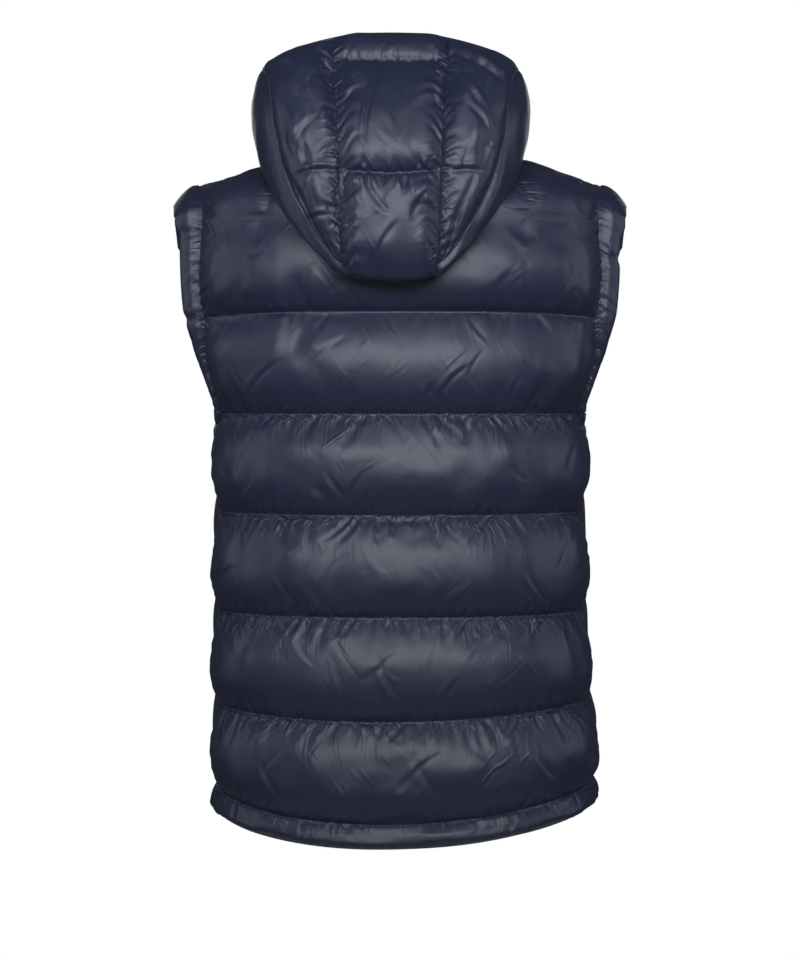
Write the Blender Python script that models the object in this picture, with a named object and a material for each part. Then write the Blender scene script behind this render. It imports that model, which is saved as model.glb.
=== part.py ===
import math

import bmesh
import bpy
import numpy as np

# A hooded, down-quilted gilet, worn form, hood lying back.
# Lengths in the tables are millimetres; objects are written in metres.
# Origin: middle of the neck opening at shoulder height. Front -Y, back +Y, up +Z.
MM = 0.001
WALL = 3.0
HALF_GAP = 0.15
SQUARENESS = 2.4
ZIP_HALF_GAP = 7.0
HEM_SIDE_LIFT = 25.0
HEM_BAND_TALL = 24.0
BACK_PUFF = 22.0
FRONT_PUFF = 20.0
YOKE_PUFF = 10.0
HOOD_PUFF = 13.0
COLLAR_TALL = 88.0
COLLAR_FRONT_TALL = 110.0
NECK_HALF_WIDE = 92.0
NECK_HALF_DEEP = 86.0
BACK_TOP = -57.0
BACK_HEM_SEAM = -638.0
FRONT_HEM_SEAM = -603.0
NECK_SHARE = 0.55
SHOULDER_Y = -4.0

# Plan sections of the seam surface, from the hem up.
BODY_Z = [-700.0, -620.0, -540.0, -450.0, -350.0, -262.0, -215.0, -180.0, -147.0, -100.0, -57.0]
BODY_HALF_WIDE = [188.0, 187.0, 185.0, 181.0, 179.5, 180.0, 191.0, 203.0, 209.0, 211.0, 211.0]
BODY_HALF_DEEP = [127.0, 127.0, 127.0, 126.0, 125.0, 125.0, 125.0, 125.0, 126.0, 127.0, 126.0]

# Angles of the armhole seam on the back and the front, from the underarm up.
ARMHOLE_FOOT = -262.0
ARMHOLE_Z = [-700.0, -262.0, -257.0, -247.0, -230.0, -205.0, -190.0, -175.0, -147.0, -57.0]
BACK_EDGE = [81.0, 81.0, 76.0, 72.0, 70.0, 69.0, 67.5, 65.0, 63.0, 63.0]
FRONT_EDGE = [81.0, 81.0, 87.0, 94.0, 100.0, 106.0, 109.0, 111.0, 112.0, 112.0]

# Width of the armhole band, and how far it turns to the side, by height.
BAND_Z = [-262.0, -235.0, -200.0, -175.0, -150.0, -80.0, -66.0, -45.0, 0.0]
BAND_WIDE = [10.0, 12.0, 15.0, 20.0, 25.0, 26.0, 31.0, 30.0, 23.0]
BAND_TURN_Z = [-262.0, -200.0, -100.0, -40.0, 0.0]
BAND_TURN = [0.15, 0.40, 0.52, 0.52, 0.48]
BAND_DROOP = 20.0

# Quilting seams from the top of each panel down to its hem seam.
BACK_SEAMS = [BACK_TOP, -152.0, -249.0, -345.0, -442.0, -538.0, BACK_HEM_SEAM]
FRONT_SEAMS = [-110.0, -210.0, -308.0, -407.0, -507.0, FRONT_HEM_SEAM]
CHANNEL_STEPS = [0.0, 0.12, 0.34, 0.62, 0.88]

# Shoulder seam from the neck point out to the shoulder tip.
SHOULDER_X = [92.0, 135.0, 180.0, 200.0]
SHOULDER_Z = [3.0, -7.0, -16.5, -22.0]

# Neckline height by angle from the middle of the back.
NECK_ANGLE = [0.0, 60.0, 93.0, 120.0, 150.0, 180.0]
NECK_Z = [6.0, 6.0, 3.0, -10.0, -34.0, -42.0]

# Plan line of the hood's fullest point by angle from the middle of the back.
HOOD_ANGLE = [0.0, 18.0, 30.0, 42.0, 55.0, 68.0, 82.0, 95.0, 110.0, 125.0, 140.0]
HOOD_WIDE = [0.0, 46.0, 76.0, 103.0, 122.0, 131.0, 134.0, 133.0, 125.0, 110.0, 93.0]
HOOD_DEEP = [182.0, 179.0, 170.0, 153.0, 123.0, 84.0, 41.0, 5.0, -36.0, -70.0, -95.0]

# Hood profile per angle: reach out from the neckline (1 = fullest) and height.
# Order of the points: rim, crown, full, low, fold, under, rest, saddle, nape.
HOOD_PROFILE_ANGLE = [0.0, 18.0, 30.0, 42.0, 55.0, 68.0, 82.0, 110.0, 140.0]
HOOD_REACH = {
    "rim": [0.22, 0.22, 0.31, 0.45, 0.66, 0.84, 0.92, 0.85, 0.75],
    "crown": [0.52, 0.52, 0.60, 0.73, 0.87, 0.96, 1.00, 0.98, 0.95],
    "full": [0.99, 0.99, 1.00, 1.01, 1.02, 1.02, 1.03, 1.02, 1.00],
    "low": [0.99, 0.99, 0.99, 0.99, 0.99, 0.98, 0.97, 0.96, 0.96],
    "fold": [0.87, 0.86, 0.86, 0.87, 0.88, 0.86, 0.82, 0.80, 0.80],
    "under": [0.75, 0.74, 0.71, 0.72, 0.67, 0.62, 0.60, 0.60, 0.60],
    "rest": [0.58, 0.56, 0.50, 0.45, 0.42, 0.40, 0.40, 0.40, 0.40],
    "saddle": [0.22, 0.22, 0.22, 0.20, 0.20, 0.20, 0.20, 0.20, 0.20],
    "nape": [0.0, 0.0, 0.0, 0.0, 0.0, 0.0, 0.0, 0.0, 0.0],
}
HOOD_HEIGHT = {
    "rim": [113.0, 113.0, 109.0, 103.0, 95.0, 86.0, 78.0, 62.0, 38.0],
    "crown": [76.0, 76.0, 77.0, 77.0, 77.0, 72.0, 66.0, 54.0, 32.0],
    "full": [-15.0, -15.0, -2.0, 16.0, 32.0, 42.0, 48.0, 42.0, 20.0],
    "low": [-90.0, -82.0, -60.0, -29.0, 0.0, 19.0, 30.0, 26.0, 4.0],
    "fold": [-129.0, -122.0, -92.0, -60.0, -27.0, 0.0, 12.0, 12.0, -16.0],
    "under": [-94.0, -87.0, -58.0, -34.0, -4.0, 7.0, 13.0, 12.0, -17.0],
    "rest": [-25.0, -22.0, -12.0, -4.0, 5.0, 11.0, 14.0, 12.0, -15.0],
    "saddle": [8.0, 8.0, 9.0, 9.5, 10.0, 11.0, 12.0, 7.0, -18.0],
    "nape": [6.8, 6.8, 6.8, 6.8, 6.6, 6.2, 5.1, -2.6, -25.8],
}
HOOD_POINTS = ["rim", "crown", "full", "low", "fold", "under", "rest", "saddle", "nape"]
HOOD_CENTRE_EDGE = 18.0
HOOD_FRONT_EDGE = 140.0


def curve(at, knots, values):
    """Shape-keeping cubic through a short table."""
    at = np.asarray(at, float)
    knots = np.asarray(knots, float)
    values = np.asarray(values, float)
    step = np.diff(knots)
    rise = np.diff(values) / step
    slope = np.zeros(len(knots))
    slope[0] = rise[0]
    slope[-1] = rise[-1]
    for k in range(1, len(knots) - 1):
        if rise[k - 1] * rise[k] > 0:
            first = 2 * step[k] + step[k - 1]
            second = step[k] + 2 * step[k - 1]
            slope[k] = (first + second) / (first / rise[k - 1] + second / rise[k])
    cell = np.clip(np.searchsorted(knots, at) - 1, 0, len(step) - 1)
    t = np.clip((at - knots[cell]) / step[cell], 0.0, 1.0)
    return (values[cell] * (1 + 2 * t) * (1 - t) ** 2 + values[cell + 1] * t * t * (3 - 2 * t)
            + step[cell] * (slope[cell] * t * (1 - t) ** 2 - slope[cell + 1] * t * t * (1 - t)))


def unit(vectors):
    return vectors / np.linalg.norm(vectors, axis=-1, keepdims=True)


def body(angle, z):
    """Seam surface and its level normal; the angle runs from the middle of the back."""
    angle, z = np.broadcast_arrays(np.asarray(angle, float), np.asarray(z, float))
    wide = curve(z, BODY_Z, BODY_HALF_WIDE)
    deep = curve(z, BODY_Z, BODY_HALF_DEEP)
    s = np.sin(np.radians(angle))
    c = np.cos(np.radians(angle))
    power = 2 / SQUARENESS
    sx = np.sign(s) * np.abs(s) ** power
    sy = np.sign(c) * np.abs(c) ** power
    lean = SQUARENESS - 1
    nx = np.sign(s) * np.abs(sx) ** lean / wide
    ny = np.sign(c) * np.abs(sy) ** lean / deep
    return np.stack([wide * sx, deep * sy, z], -1), unit(np.stack([nx, ny, np.zeros_like(nx)], -1))


def neck(angle):
    angle = np.asarray(angle, float)
    turn = np.radians(angle)
    height = curve(np.abs(angle), NECK_ANGLE, NECK_Z)
    return np.stack([NECK_HALF_WIDE * np.sin(turn), NECK_HALF_DEEP * np.cos(turn), height], -1)


def top_edge(share, start_angle):
    """Neckline from start_angle to the neck point, then the shoulder seam; share 0 to 1."""
    share = np.asarray(share, float)
    along = np.clip(share / NECK_SHARE, 0, 1)
    line = neck(start_angle + (93.0 - start_angle) * along)
    out = np.clip((share - NECK_SHARE) / (1 - NECK_SHARE), 0, 1)
    x = SHOULDER_X[0] + (SHOULDER_X[-1] - SHOULDER_X[0]) * out
    seam = np.stack([x, np.full_like(x, SHOULDER_Y), curve(x, SHOULDER_X, SHOULDER_Z)], -1)
    return np.where((share <= NECK_SHARE)[..., None], line, seam)


def over_shoulder(foot, level, top, turn, share):
    """Arch from a level row up to the neckline (still rising) and shoulder seam (level)."""
    rise = np.radians(turn)[:, None, None]
    finish = (40.0 + 50.0 * np.clip(share / NECK_SHARE, 0, 1) ** 2)[None, :, None] / 90.0
    flat = np.array([1.0, 1.0, 0.0])
    tall = np.array([0.0, 0.0, 1.0])
    reach = (top - foot)[None]
    level_part = (1 - np.cos(rise * finish)) / (1 - np.cos(math.pi / 2 * finish))
    upright_part = np.sin(rise * finish) / np.sin(math.pi / 2 * finish)
    place = foot[None] + reach * flat * level_part + reach * tall * upright_part
    return place, unit(level[None] * np.cos(rise) + tall * np.sin(rise))


def inset(grid, rows=(1, 1), cols=(1, 1), gap=HALF_GAP):
    """Draw the named edges in by half the seam gap."""
    grid = grid.copy()
    if rows[0]:
        grid[0] += unit(grid[1] - grid[0]) * gap
    if rows[1]:
        grid[-1] += unit(grid[-2] - grid[-1]) * gap
    if cols[0]:
        grid[:, 0] += unit(grid[:, 1] - grid[:, 0]) * gap
    if cols[1]:
        grid[:, -1] += unit(grid[:, -2] - grid[:, -1]) * gap
    return grid


def channel_rows(seams):
    """Heights of the rows, underarm rows among them, and how far each lies through its channel."""
    rows = []
    for upper, lower in zip(seams[:-1], seams[1:]):
        parts = list(CHANNEL_STEPS)
        for z in ARMHOLE_Z[1:6]:
            part = (z - upper) / (lower - upper)
            if 0.0 < part < 1.0:
                parts = [p for p in parts if p == 0.0 or abs(p - part) > 0.05] + [part]
        rows += [(upper + (lower - upper) * part, part) for part in sorted(parts)]
    rows.append((seams[-1], 1.0))
    return np.array([row[0] for row in rows]), np.array([row[1] for row in rows])


def swell(through):
    """Rise of the filling across a channel, a little fuller below the middle."""
    return 1 - np.abs(2 * through ** 1.12 - 1) ** 2.3


def ease(distance, reach):
    """Rise from a sewn edge over a given reach."""
    part = np.clip(distance / reach, 0, 1)
    return part * (2 - part)


def new_object(name, mesh_builder, colour):
    mesh = bpy.data.meshes.new(name)
    mesh_builder.to_mesh(mesh)
    mesh_builder.free()
    thing = bpy.data.objects.new(name, mesh)
    bpy.context.collection.objects.link(thing)
    finish = bpy.data.materials.new(name + "_material")
    finish.use_nodes = True
    finish.node_tree.nodes["Principled BSDF"].inputs["Base Color"].default_value = (*colour, 1.0)
    mesh.materials.append(finish)
    return thing


def shell(name, outer, inner, colour, loop=False):
    """Closed wall between two grids of the same shape; loop joins last column to first."""
    rows, cols = outer.shape[:2]
    work = bmesh.new()
    front = [[work.verts.new(outer[r, c] * MM) for c in range(cols)] for r in range(rows)]
    back = [[work.verts.new(inner[r, c] * MM) for c in range(cols)] for r in range(rows)]
    spans = cols if loop else cols - 1
    for r in range(rows - 1):
        for c in range(spans):
            d = (c + 1) % cols
            work.faces.new((front[r][c], front[r][d], front[r + 1][d], front[r + 1][c]))
            work.faces.new((back[r][c], back[r + 1][c], back[r + 1][d], back[r][d]))
    for c in range(spans):
        d = (c + 1) % cols
        work.faces.new((front[0][d], front[0][c], back[0][c], back[0][d]))
        work.faces.new((front[-1][c], front[-1][d], back[-1][d], back[-1][c]))
    if not loop:
        for r in range(rows - 1):
            work.faces.new((front[r][0], front[r + 1][0], back[r + 1][0], back[r][0]))
            work.faces.new((front[r + 1][-1], front[r][-1], back[r][-1], back[r + 1][-1]))
    bmesh.ops.triangulate(work, faces=work.faces[:], quad_method="SHORT_EDGE")
    bmesh.ops.recalc_face_normals(work, faces=work.faces[:])
    return new_object(name, work, colour)


def mirrored(grid):
    return grid * np.array([-1.0, 1.0, 1.0])


def hem_drop(points, seam):
    """Lift of the hem line toward the side seams."""
    wide = np.abs(points[..., 0]) / BODY_HALF_WIDE[0]
    return seam + HEM_SIDE_LIFT * np.clip(wide, 0, 1) ** 2.2


for thing in list(bpy.data.objects):
    bpy.data.objects.remove(thing, do_unlink=True)

NAVY = (0.022, 0.027, 0.045)
DARK = (0.012, 0.013, 0.018)
METAL = (0.30, 0.30, 0.32)

# Back panel, quilted in level channels down to a hem that dips at the middle.
BACK_COLUMNS = 27
heights, through = channel_rows(BACK_SEAMS)
side = np.linspace(-1, 1, BACK_COLUMNS)
angles = side[None, :] * curve(heights, ARMHOLE_Z, BACK_EDGE)[:, None]
levels = np.repeat(heights[:, None], BACK_COLUMNS, axis=1)
points, normals = body(angles, levels)
last = len(CHANNEL_STEPS)
stretch = (BACK_SEAMS[-2] - levels[-last - 1:]) / (BACK_SEAMS[-2] - BACK_SEAMS[-1])
levels[-last - 1:] += (hem_drop(points[-last - 1:], BACK_HEM_SEAM) - BACK_HEM_SEAM) * stretch
points, normals = body(angles, levels)
back_edge = points[:, -1].copy()
back_edge_normals = normals[:, -1].copy()
back_hem_line = points[-1].copy()
back_hem_angles = angles[-1].copy()
seam_surface = inset(points)
edge_way = np.minimum(np.abs(points[..., 0] - points[:, :1, 0]), np.abs(points[:, -1:, 0] - points[..., 0]))
puff = BACK_PUFF * swell(through)[:, None] * (0.12 + 0.88 * ease(edge_way, 55.0))
shell("back_panel", seam_surface + normals * puff[..., None], seam_surface - normals * WALL, NAVY)

# Back yoke over the shoulders to the neckline.
YOKE_TURNS = np.array([0.0, 14.0, 32.0, 52.0, 72.0, 90.0])
foot, level = body(side * BACK_EDGE[-1], BACK_TOP)
top = top_edge(np.abs(side), 0.0)
top[:, 0] *= np.where(side < 0, -1.0, 1.0)
points, normals = over_shoulder(foot, level, top, YOKE_TURNS, np.abs(side))
yoke_edge, yoke_edge_normals = points[:, -1].copy(), normals[:, -1].copy()
seam_surface = inset(points)
puff = YOKE_PUFF * np.sin(np.radians(2 * YOKE_TURNS)).clip(0)[:, None] * ease(1 - np.abs(side), 0.25)
puff = puff * (0.25 + 0.75 * ease(np.abs(side) - 0.5, 0.2).clip(0))
shell("back_yoke", seam_surface + normals * puff[..., None], seam_surface - normals * WALL, NAVY)

# Fronts: channels up to the chest, then up to the neckline and shoulder seam.
FRONT_COLUMNS = 13
heights, through = channel_rows(FRONT_SEAMS)
share = np.linspace(0, 1, FRONT_COLUMNS)


def front_angles(z):
    narrow = (ZIP_HALF_GAP / curve(z, BODY_Z, BODY_HALF_WIDE)) ** (SQUARENESS / 2)
    near = 180.0 - np.degrees(np.arcsin(narrow))
    edge = curve(z, ARMHOLE_Z, FRONT_EDGE)
    return near[..., None] + (edge - near)[..., None] * share


levels = np.repeat(heights[:, None], FRONT_COLUMNS, axis=1)
low_points, low_normals = body(front_angles(heights), levels)
stretch = np.clip((FRONT_SEAMS[-2] - levels) / (FRONT_SEAMS[-2] - FRONT_SEAMS[-1]), 0, 1)
side_hem = hem_drop(back_hem_line[-1], BACK_HEM_SEAM)
levels = levels + stretch * (side_hem - FRONT_HEM_SEAM) * share ** 2
low_points, low_normals = body(front_angles(heights), levels)
front_hem_line = low_points[-1].copy()
front_hem_angles = front_angles(heights)[-1]
TOP_TURNS = np.array([90.0, 72.0, 54.0, 36.0, 18.0])
neck_start = 180.0 - math.degrees(math.asin(ZIP_HALF_GAP / NECK_HALF_WIDE))
top = top_edge(share, neck_start)
high_points, high_normals = over_shoulder(low_points[0], low_normals[0], top, TOP_TURNS, share)
points = np.concatenate([high_points, low_points])
normals = np.concatenate([high_normals, low_normals])
front_edge = points[:, -1].copy()
front_edge_normals = normals[:, -1].copy()
seam_surface = inset(points, cols=(0, 1))
zip_way = share[None, :]
side_way = 1 - share[None, :]
rise = np.concatenate([np.sin(np.radians(2 * TOP_TURNS)).clip(0) * 0.5, swell(through)])
puff = FRONT_PUFF * rise[:, None] * (0.15 + 0.85 * ease(zip_way, 0.22))
puff = puff * (0.25 + 0.75 * ease(side_way, 0.3))
outer = seam_surface + normals * puff[..., None]
inner = seam_surface - normals * WALL
shell("front_left", outer, inner, NAVY)
shell("front_right", mirrored(outer), mirrored(inner), NAVY)


def hem_roll(name, line, angles, columns_gap, flip=False):
    """Filled hem band under a panel's hem line."""
    down = np.array([0.0, 0.12, 0.4, 0.7, 0.92, 1.0])
    fat = np.array([0.0, 4.0, 7.5, 7.5, 4.5, 1.0])
    z = line[None, :, 2] - HEM_BAND_TALL * down[:, None]
    place, normal = body(np.repeat(angles[None, :], len(down), axis=0), z)
    place = inset(place, rows=(1, 0), cols=columns_gap)
    outer = place + normal * fat[:, None, None]
    inner = place - normal * (WALL + 0.35 * fat[:, None, None])
    if flip:
        outer = mirrored(outer)
        inner = mirrored(inner)
    shell(name, outer, inner, NAVY)


hem_roll("hem_back", back_hem_line, back_hem_angles, (1, 1))
hem_roll("hem_front_left", front_hem_line, front_hem_angles, (0, 1))
hem_roll("hem_front_right", front_hem_line, front_hem_angles, (0, 1), flip=True)

# Armhole bands, filled strips sewn round each armhole.
keep_back = back_edge[:, 2] > ARMHOLE_FOOT - 0.5
keep_front = front_edge[:, 2] > ARMHOLE_FOOT + 0.5
back_way = back_edge[keep_back][::-1]
back_way_normals = back_edge_normals[keep_back][::-1]
front_way = front_edge[keep_front]
front_way_normals = front_edge_normals[keep_front]
edge = np.concatenate([back_way, yoke_edge[1:], front_way[1:]])
edge_normals = np.concatenate([back_way_normals, yoke_edge_normals[1:], front_way_normals[1:]])
tangent = unit(np.roll(edge, -1, axis=0) - np.roll(edge, 1, axis=0))
into = unit(np.cross(tangent, edge_normals))
middle = np.array([205.0, 5.0, -130.0])
into *= np.sign(np.sum(into * (middle - edge), axis=1))[:, None]
lateral = np.array([1.0, 0.0, 0.0])
mix = curve(edge[:, 2], BAND_TURN_Z, BAND_TURN)[:, None]
lead = unit(into * (1 - mix) + lateral * mix)
band_wide = curve(edge[:, 2], BAND_Z, BAND_WIDE)
band_full = (1 - 0.4 * np.clip(edge_normals[:, 2], 0, 1))[:, None]
band_normals = unit(edge_normals - lead * np.sum(edge_normals * lead, axis=1)[:, None])
BAND_ACROSS = [0.0, 0.14, 0.42, 0.74, 0.95, 1.0]
BAND_OUTER = [0.0, 3.2, 5.0, 4.6, 2.0, -0.5]
BAND_INNER = [-3.0, -4.6, -6.0, -6.0, -4.4, -2.5]
outer_rows = []
inner_rows = []
for across, high, low in zip(BAND_ACROSS, BAND_OUTER, BAND_INNER):
    turn = min(1.0, across / 0.42)
    way = unit(into * (1 - turn) + lead * turn)
    facing = unit(edge_normals * (1 - turn) + band_normals * turn)
    place = edge + into * HALF_GAP + way * (band_wide * across)[:, None]
    place[:, 2] -= BAND_DROOP * across ** 1.6 * np.clip(edge_normals[:, 2], 0, 1)
    outer_rows.append(place + facing * high * band_full)
    inner_rows.append(place + facing * low)
outer = np.array(outer_rows)
inner = np.array(inner_rows)
shell("armhole_band_left", outer, inner, NAVY, loop=True)
shell("armhole_band_right", mirrored(outer), mirrored(inner), NAVY, loop=True)

# Stand collar inside the neckline, open at the zip.
COLLAR_COLUMNS = 33
COLLAR_STEPS = np.array([0.0, 0.10, 0.30, 0.55, 0.80, 0.95, 1.0])
COLLAR_LEAN = 8.0
collar_end = 180.0 - 4.9
angles = np.linspace(-collar_end, collar_end, COLLAR_COLUMNS)
ring = neck(angles)
ring_out = np.stack([np.sin(np.radians(angles)), np.cos(np.radians(angles)), np.zeros_like(angles)], -1)
lean = 2 * HALF_GAP + COLLAR_LEAN * ease(COLLAR_STEPS, 0.2)
collar = ring[None] - ring_out[None] * lean[:, None, None]
tall = COLLAR_TALL + (COLLAR_FRONT_TALL - COLLAR_TALL) * np.clip((np.abs(angles) - 60.0) / 120.0, 0, 1)
collar[..., 2] += -4.0 + tall[None] * COLLAR_STEPS[:, None]
fat = 5.5 * np.sin(math.pi * np.clip((COLLAR_STEPS - 0.1) / 0.9, 0, 1))
fade = ease(collar_end - np.abs(angles), 20.0)
outer = collar + ring_out[None] * (fat[:, None] * fade[None])[..., None]
inner = collar - ring_out[None] * WALL
shell("collar", outer, inner, NAVY)


def hood(angle, part):
    """Hood surface: angle from the middle of the back, part 0 at the rim to 1 at the nape."""
    angle = np.asarray(angle, float)
    part = np.asarray(part, float)
    place = np.zeros(angle.shape + (3,))
    for index in np.ndindex(angle.shape):
        turn = abs(angle[index])
        reach = np.array([curve(turn, HOOD_PROFILE_ANGLE, HOOD_REACH[k]) for k in HOOD_POINTS])
        height = np.array([curve(turn, HOOD_PROFILE_ANGLE, HOOD_HEIGHT[k]) for k in HOOD_POINTS])
        start = neck(turn)[:2]
        far = np.array([curve(turn, HOOD_ANGLE, HOOD_WIDE), curve(turn, HOOD_ANGLE, HOOD_DEEP)])
        run = np.hypot(np.diff(reach) * np.linalg.norm(far - start), np.diff(height))
        run = np.concatenate([[0.0], np.cumsum(run)])
        out = curve(part[index] * run[-1], run, reach)
        plan = start + (far - start) * out
        rise = curve(part[index] * run[-1], run, height)
        place[index] = [math.copysign(plan[0], angle[index]), plan[1], rise]
    return place


def hood_normals(angle, part):
    """Outward direction of the hood surface."""
    here = np.clip(part, 0.004, 0.996)
    across = hood(angle + 0.4, here) - hood(angle - 0.4, here)
    down = hood(angle, here + 0.004) - hood(angle, here - 0.004)
    return unit(np.cross(across, down))


# Seam between the hood's side and its under piece, from the rim to the fold.
GORE_ANGLE = [70.0, 62.5, 57.0, 51.0, 47.5, 45.5, 44.5, 42.0, 37.0, 33.0, 29.0, 23.0]
GORE_PART = [0.0, 0.09, 0.14, 0.22, 0.29, 0.35, 0.38, 0.447, 0.507, 0.533, 0.55, 0.557]
UNDER_TO_FOLD = np.array([0.0, 0.35, 0.70, 1.0])
UNDER_TO_NAPE = np.array([0.12, 0.30, 0.52, 0.76, 1.0])
UNDER_FAT = np.array([0.0, 3.8, 5.0, 4.4, 2.6, 0.8, 0.0, 0.0, 0.0])
RIM_SEAM = 0.09
CROWN_SEAM = 0.35
FOLD_SEAM = 0.6013


def hood_piece(name, angle, part, fat, edges, flip=False, gap=HALF_GAP):
    place = hood(angle, part)
    normal = hood_normals(angle, part)
    place = inset(place, edges[0], edges[1], gap)
    outer = place + normal * fat[..., None]
    inner = place - normal * WALL
    if flip:
        outer = mirrored(outer)
        inner = mirrored(inner)
    shell(name, outer, inner, NAVY)


# Hood centre: one long strip from the rim over the crown and under to the nape.
to_fold = GORE_PART[-1] + (FOLD_SEAM - GORE_PART[-1]) * UNDER_TO_FOLD
to_nape = FOLD_SEAM + (1 - FOLD_SEAM) * UNDER_TO_NAPE
part = np.concatenate([[0.0, 0.045], GORE_PART[1:-1], to_fold, to_nape])
angle = np.linspace(-HOOD_CENTRE_EDGE, HOOD_CENTRE_EDGE, 9)
angle, part = np.meshgrid(angle, part)
block = np.zeros_like(part)
for upper, lower, high in ((0.0, RIM_SEAM, 4.0), (RIM_SEAM, CROWN_SEAM, 13.0),
                           (CROWN_SEAM, FOLD_SEAM, 13.0), (FOLD_SEAM, 1.0, 2.0)):
    inside = (part >= upper) & (part <= lower)
    through = np.clip((part - upper) / (lower - upper), 0, 1)
    block = np.where(inside, high * np.sin(math.pi * through).clip(0) ** 0.7, block)
fat = block * (0.1 + 0.9 * ease(HOOD_CENTRE_EDGE - np.abs(angle), 8.0))
hood_piece("hood_centre", angle, part, fat, ((0, 0), (1, 1)))

# Hood sides, from the rim down to the under seam.
part = np.array(GORE_PART)
share = np.linspace(0, 1, 9)
angle = HOOD_CENTRE_EDGE + (np.array(GORE_ANGLE) - HOOD_CENTRE_EDGE)[:, None] * share
part = np.repeat(part[:, None], len(share), axis=1)
room = (np.array(GORE_ANGLE) - HOOD_CENTRE_EDGE)[:, None]
edge_way = np.minimum(share[None] * room, (1 - share[None]) * room)
rim_part = np.where(part < RIM_SEAM, 0.3, ease(part - RIM_SEAM, 0.10))
fat = HOOD_PUFF * rim_part * (0.1 + 0.9 * ease(edge_way, 12.0)) * ease(0.56 - part, 0.12)
hood_piece("hood_side_left", angle, part, fat, ((0, 1), (1, 1)), gap=0.3)
hood_piece("hood_side_right", angle, part, fat, ((0, 1), (1, 1)), flip=True, gap=0.3)

# Hood under pieces, from that seam and the front rim in to the neckline.
front_angles = [79.0, 88.0, 96.0, 104.0, 113.0, 122.0, 131.0, 140.0]
angle = np.array([18.0, 20.0, 21.5] + GORE_ANGLE[::-1] + front_angles)
top_part = np.array([GORE_PART[-1]] * 3 + GORE_PART[::-1] + [0.0] * len(front_angles))
upper = top_part[None] + (FOLD_SEAM - top_part)[None] * UNDER_TO_FOLD[:, None]
lower = np.repeat(FOLD_SEAM + (1 - FOLD_SEAM) * UNDER_TO_NAPE[:, None], len(angle), axis=1)
part = np.concatenate([upper, lower])
angle = np.repeat(angle[None], len(part), axis=0)
ends = ease(angle - HOOD_CENTRE_EDGE, 10.0) * ease(HOOD_FRONT_EDGE - angle, 12.0)
fat = UNDER_FAT[:, None] * ends
hood_piece("hood_under_left", angle, part, fat, ((1, 0), (1, 0)), gap=0.4)
hood_piece("hood_under_right", angle, part, fat, ((1, 0), (1, 0)), flip=True, gap=0.4)

# Zip: two tapes up the middle of the front and the collar, a slider and its pull.
TAPE_WIDE = 6.4
ZIP_TOP_SHARE = 0.97
middle_row, middle_normal = body(np.full(len(heights), 180.0), heights)
hem_foot, hem_normal = body(np.array([180.0]), np.array([FRONT_HEM_SEAM - HEM_BAND_TALL + 1.0]))
neck_front = neck(np.array([180.0]))
crest, crest_normal = over_shoulder(middle_row[:1], middle_normal[:1], neck_front, TOP_TURNS[1:],
                                    np.array([0.0]))
collar_share = np.array([0.10, 0.20, 0.40, 0.60, 0.80, ZIP_TOP_SHARE])
collar_line = np.repeat(neck(180.0)[None], len(collar_share), axis=0)
collar_line[:, 1] += 2 * HALF_GAP + COLLAR_LEAN * ease(collar_share, 0.2)
collar_line[:, 2] += -4.0 + COLLAR_FRONT_TALL * collar_share
path = np.concatenate([collar_line[::-1], crest[:, 0], middle_row, hem_foot])[:, 1:]
run = np.gradient(path, axis=0)
facing = unit(np.stack([np.zeros(len(path)), run[:, 1], -run[:, 0]], -1))
sheet = np.concatenate([np.zeros((len(path), 1)), path], axis=1)
for name, way in (("zip_tape_left", 1.0), ("zip_tape_right", -1.0)):
    across = np.array([[0.25 * way, 0.0, 0.0], [TAPE_WIDE * way, 0.0, 0.0]])
    flat_sheet = sheet[:, None] + across[None]
    shell(name, flat_sheet - facing[:, None] * 0.8, flat_sheet - facing[:, None] * 2.4, DARK)


def block(name, low, high, colour):
    """Plain box between two corners in millimetres."""
    work = bmesh.new()
    bmesh.ops.create_cube(work, size=1.0)
    low = np.array(low)
    high = np.array(high)
    for vert in work.verts:
        vert.co = ((low + high) / 2 + np.array(vert.co) * (high - low)) * MM
    return new_object(name, work, colour)


def combine(target, tool, operation):
    """Boolean with a hidden tool object."""
    tool.hide_render = True
    tool.display_type = "WIRE"
    change = target.modifiers.new(operation.lower() + "_" + tool.name, "BOOLEAN")
    change.operation = operation
    change.object = tool
    change.solver = "EXACT"


# Slider: a body on the tapes with a bridge over the pull's crossbar.
SLIDER_Z = 20.0
SLIDER_FACE = float(collar_line[-1, 1]) + 0.8 - 2 * HALF_GAP
PULL_Y = SLIDER_FACE - 4.7
slider = block("zip_slider", (-4.5, SLIDER_FACE - 3.0, SLIDER_Z - 7.0),
               (4.5, SLIDER_FACE, SLIDER_Z + 7.0), METAL)
bridge = block("slider_bridge", (-1.2, SLIDER_FACE - 7.6, SLIDER_Z - 4.0),
               (1.2, SLIDER_FACE - 1.0, SLIDER_Z + 4.0), METAL)
hollow = block("slider_hollow", (-3.0, SLIDER_FACE - 6.4, SLIDER_Z - 2.7),
               (3.0, SLIDER_FACE - 3.0, SLIDER_Z + 2.7), METAL)
combine(bridge, hollow, "DIFFERENCE")
combine(slider, bridge, "UNION")

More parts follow.
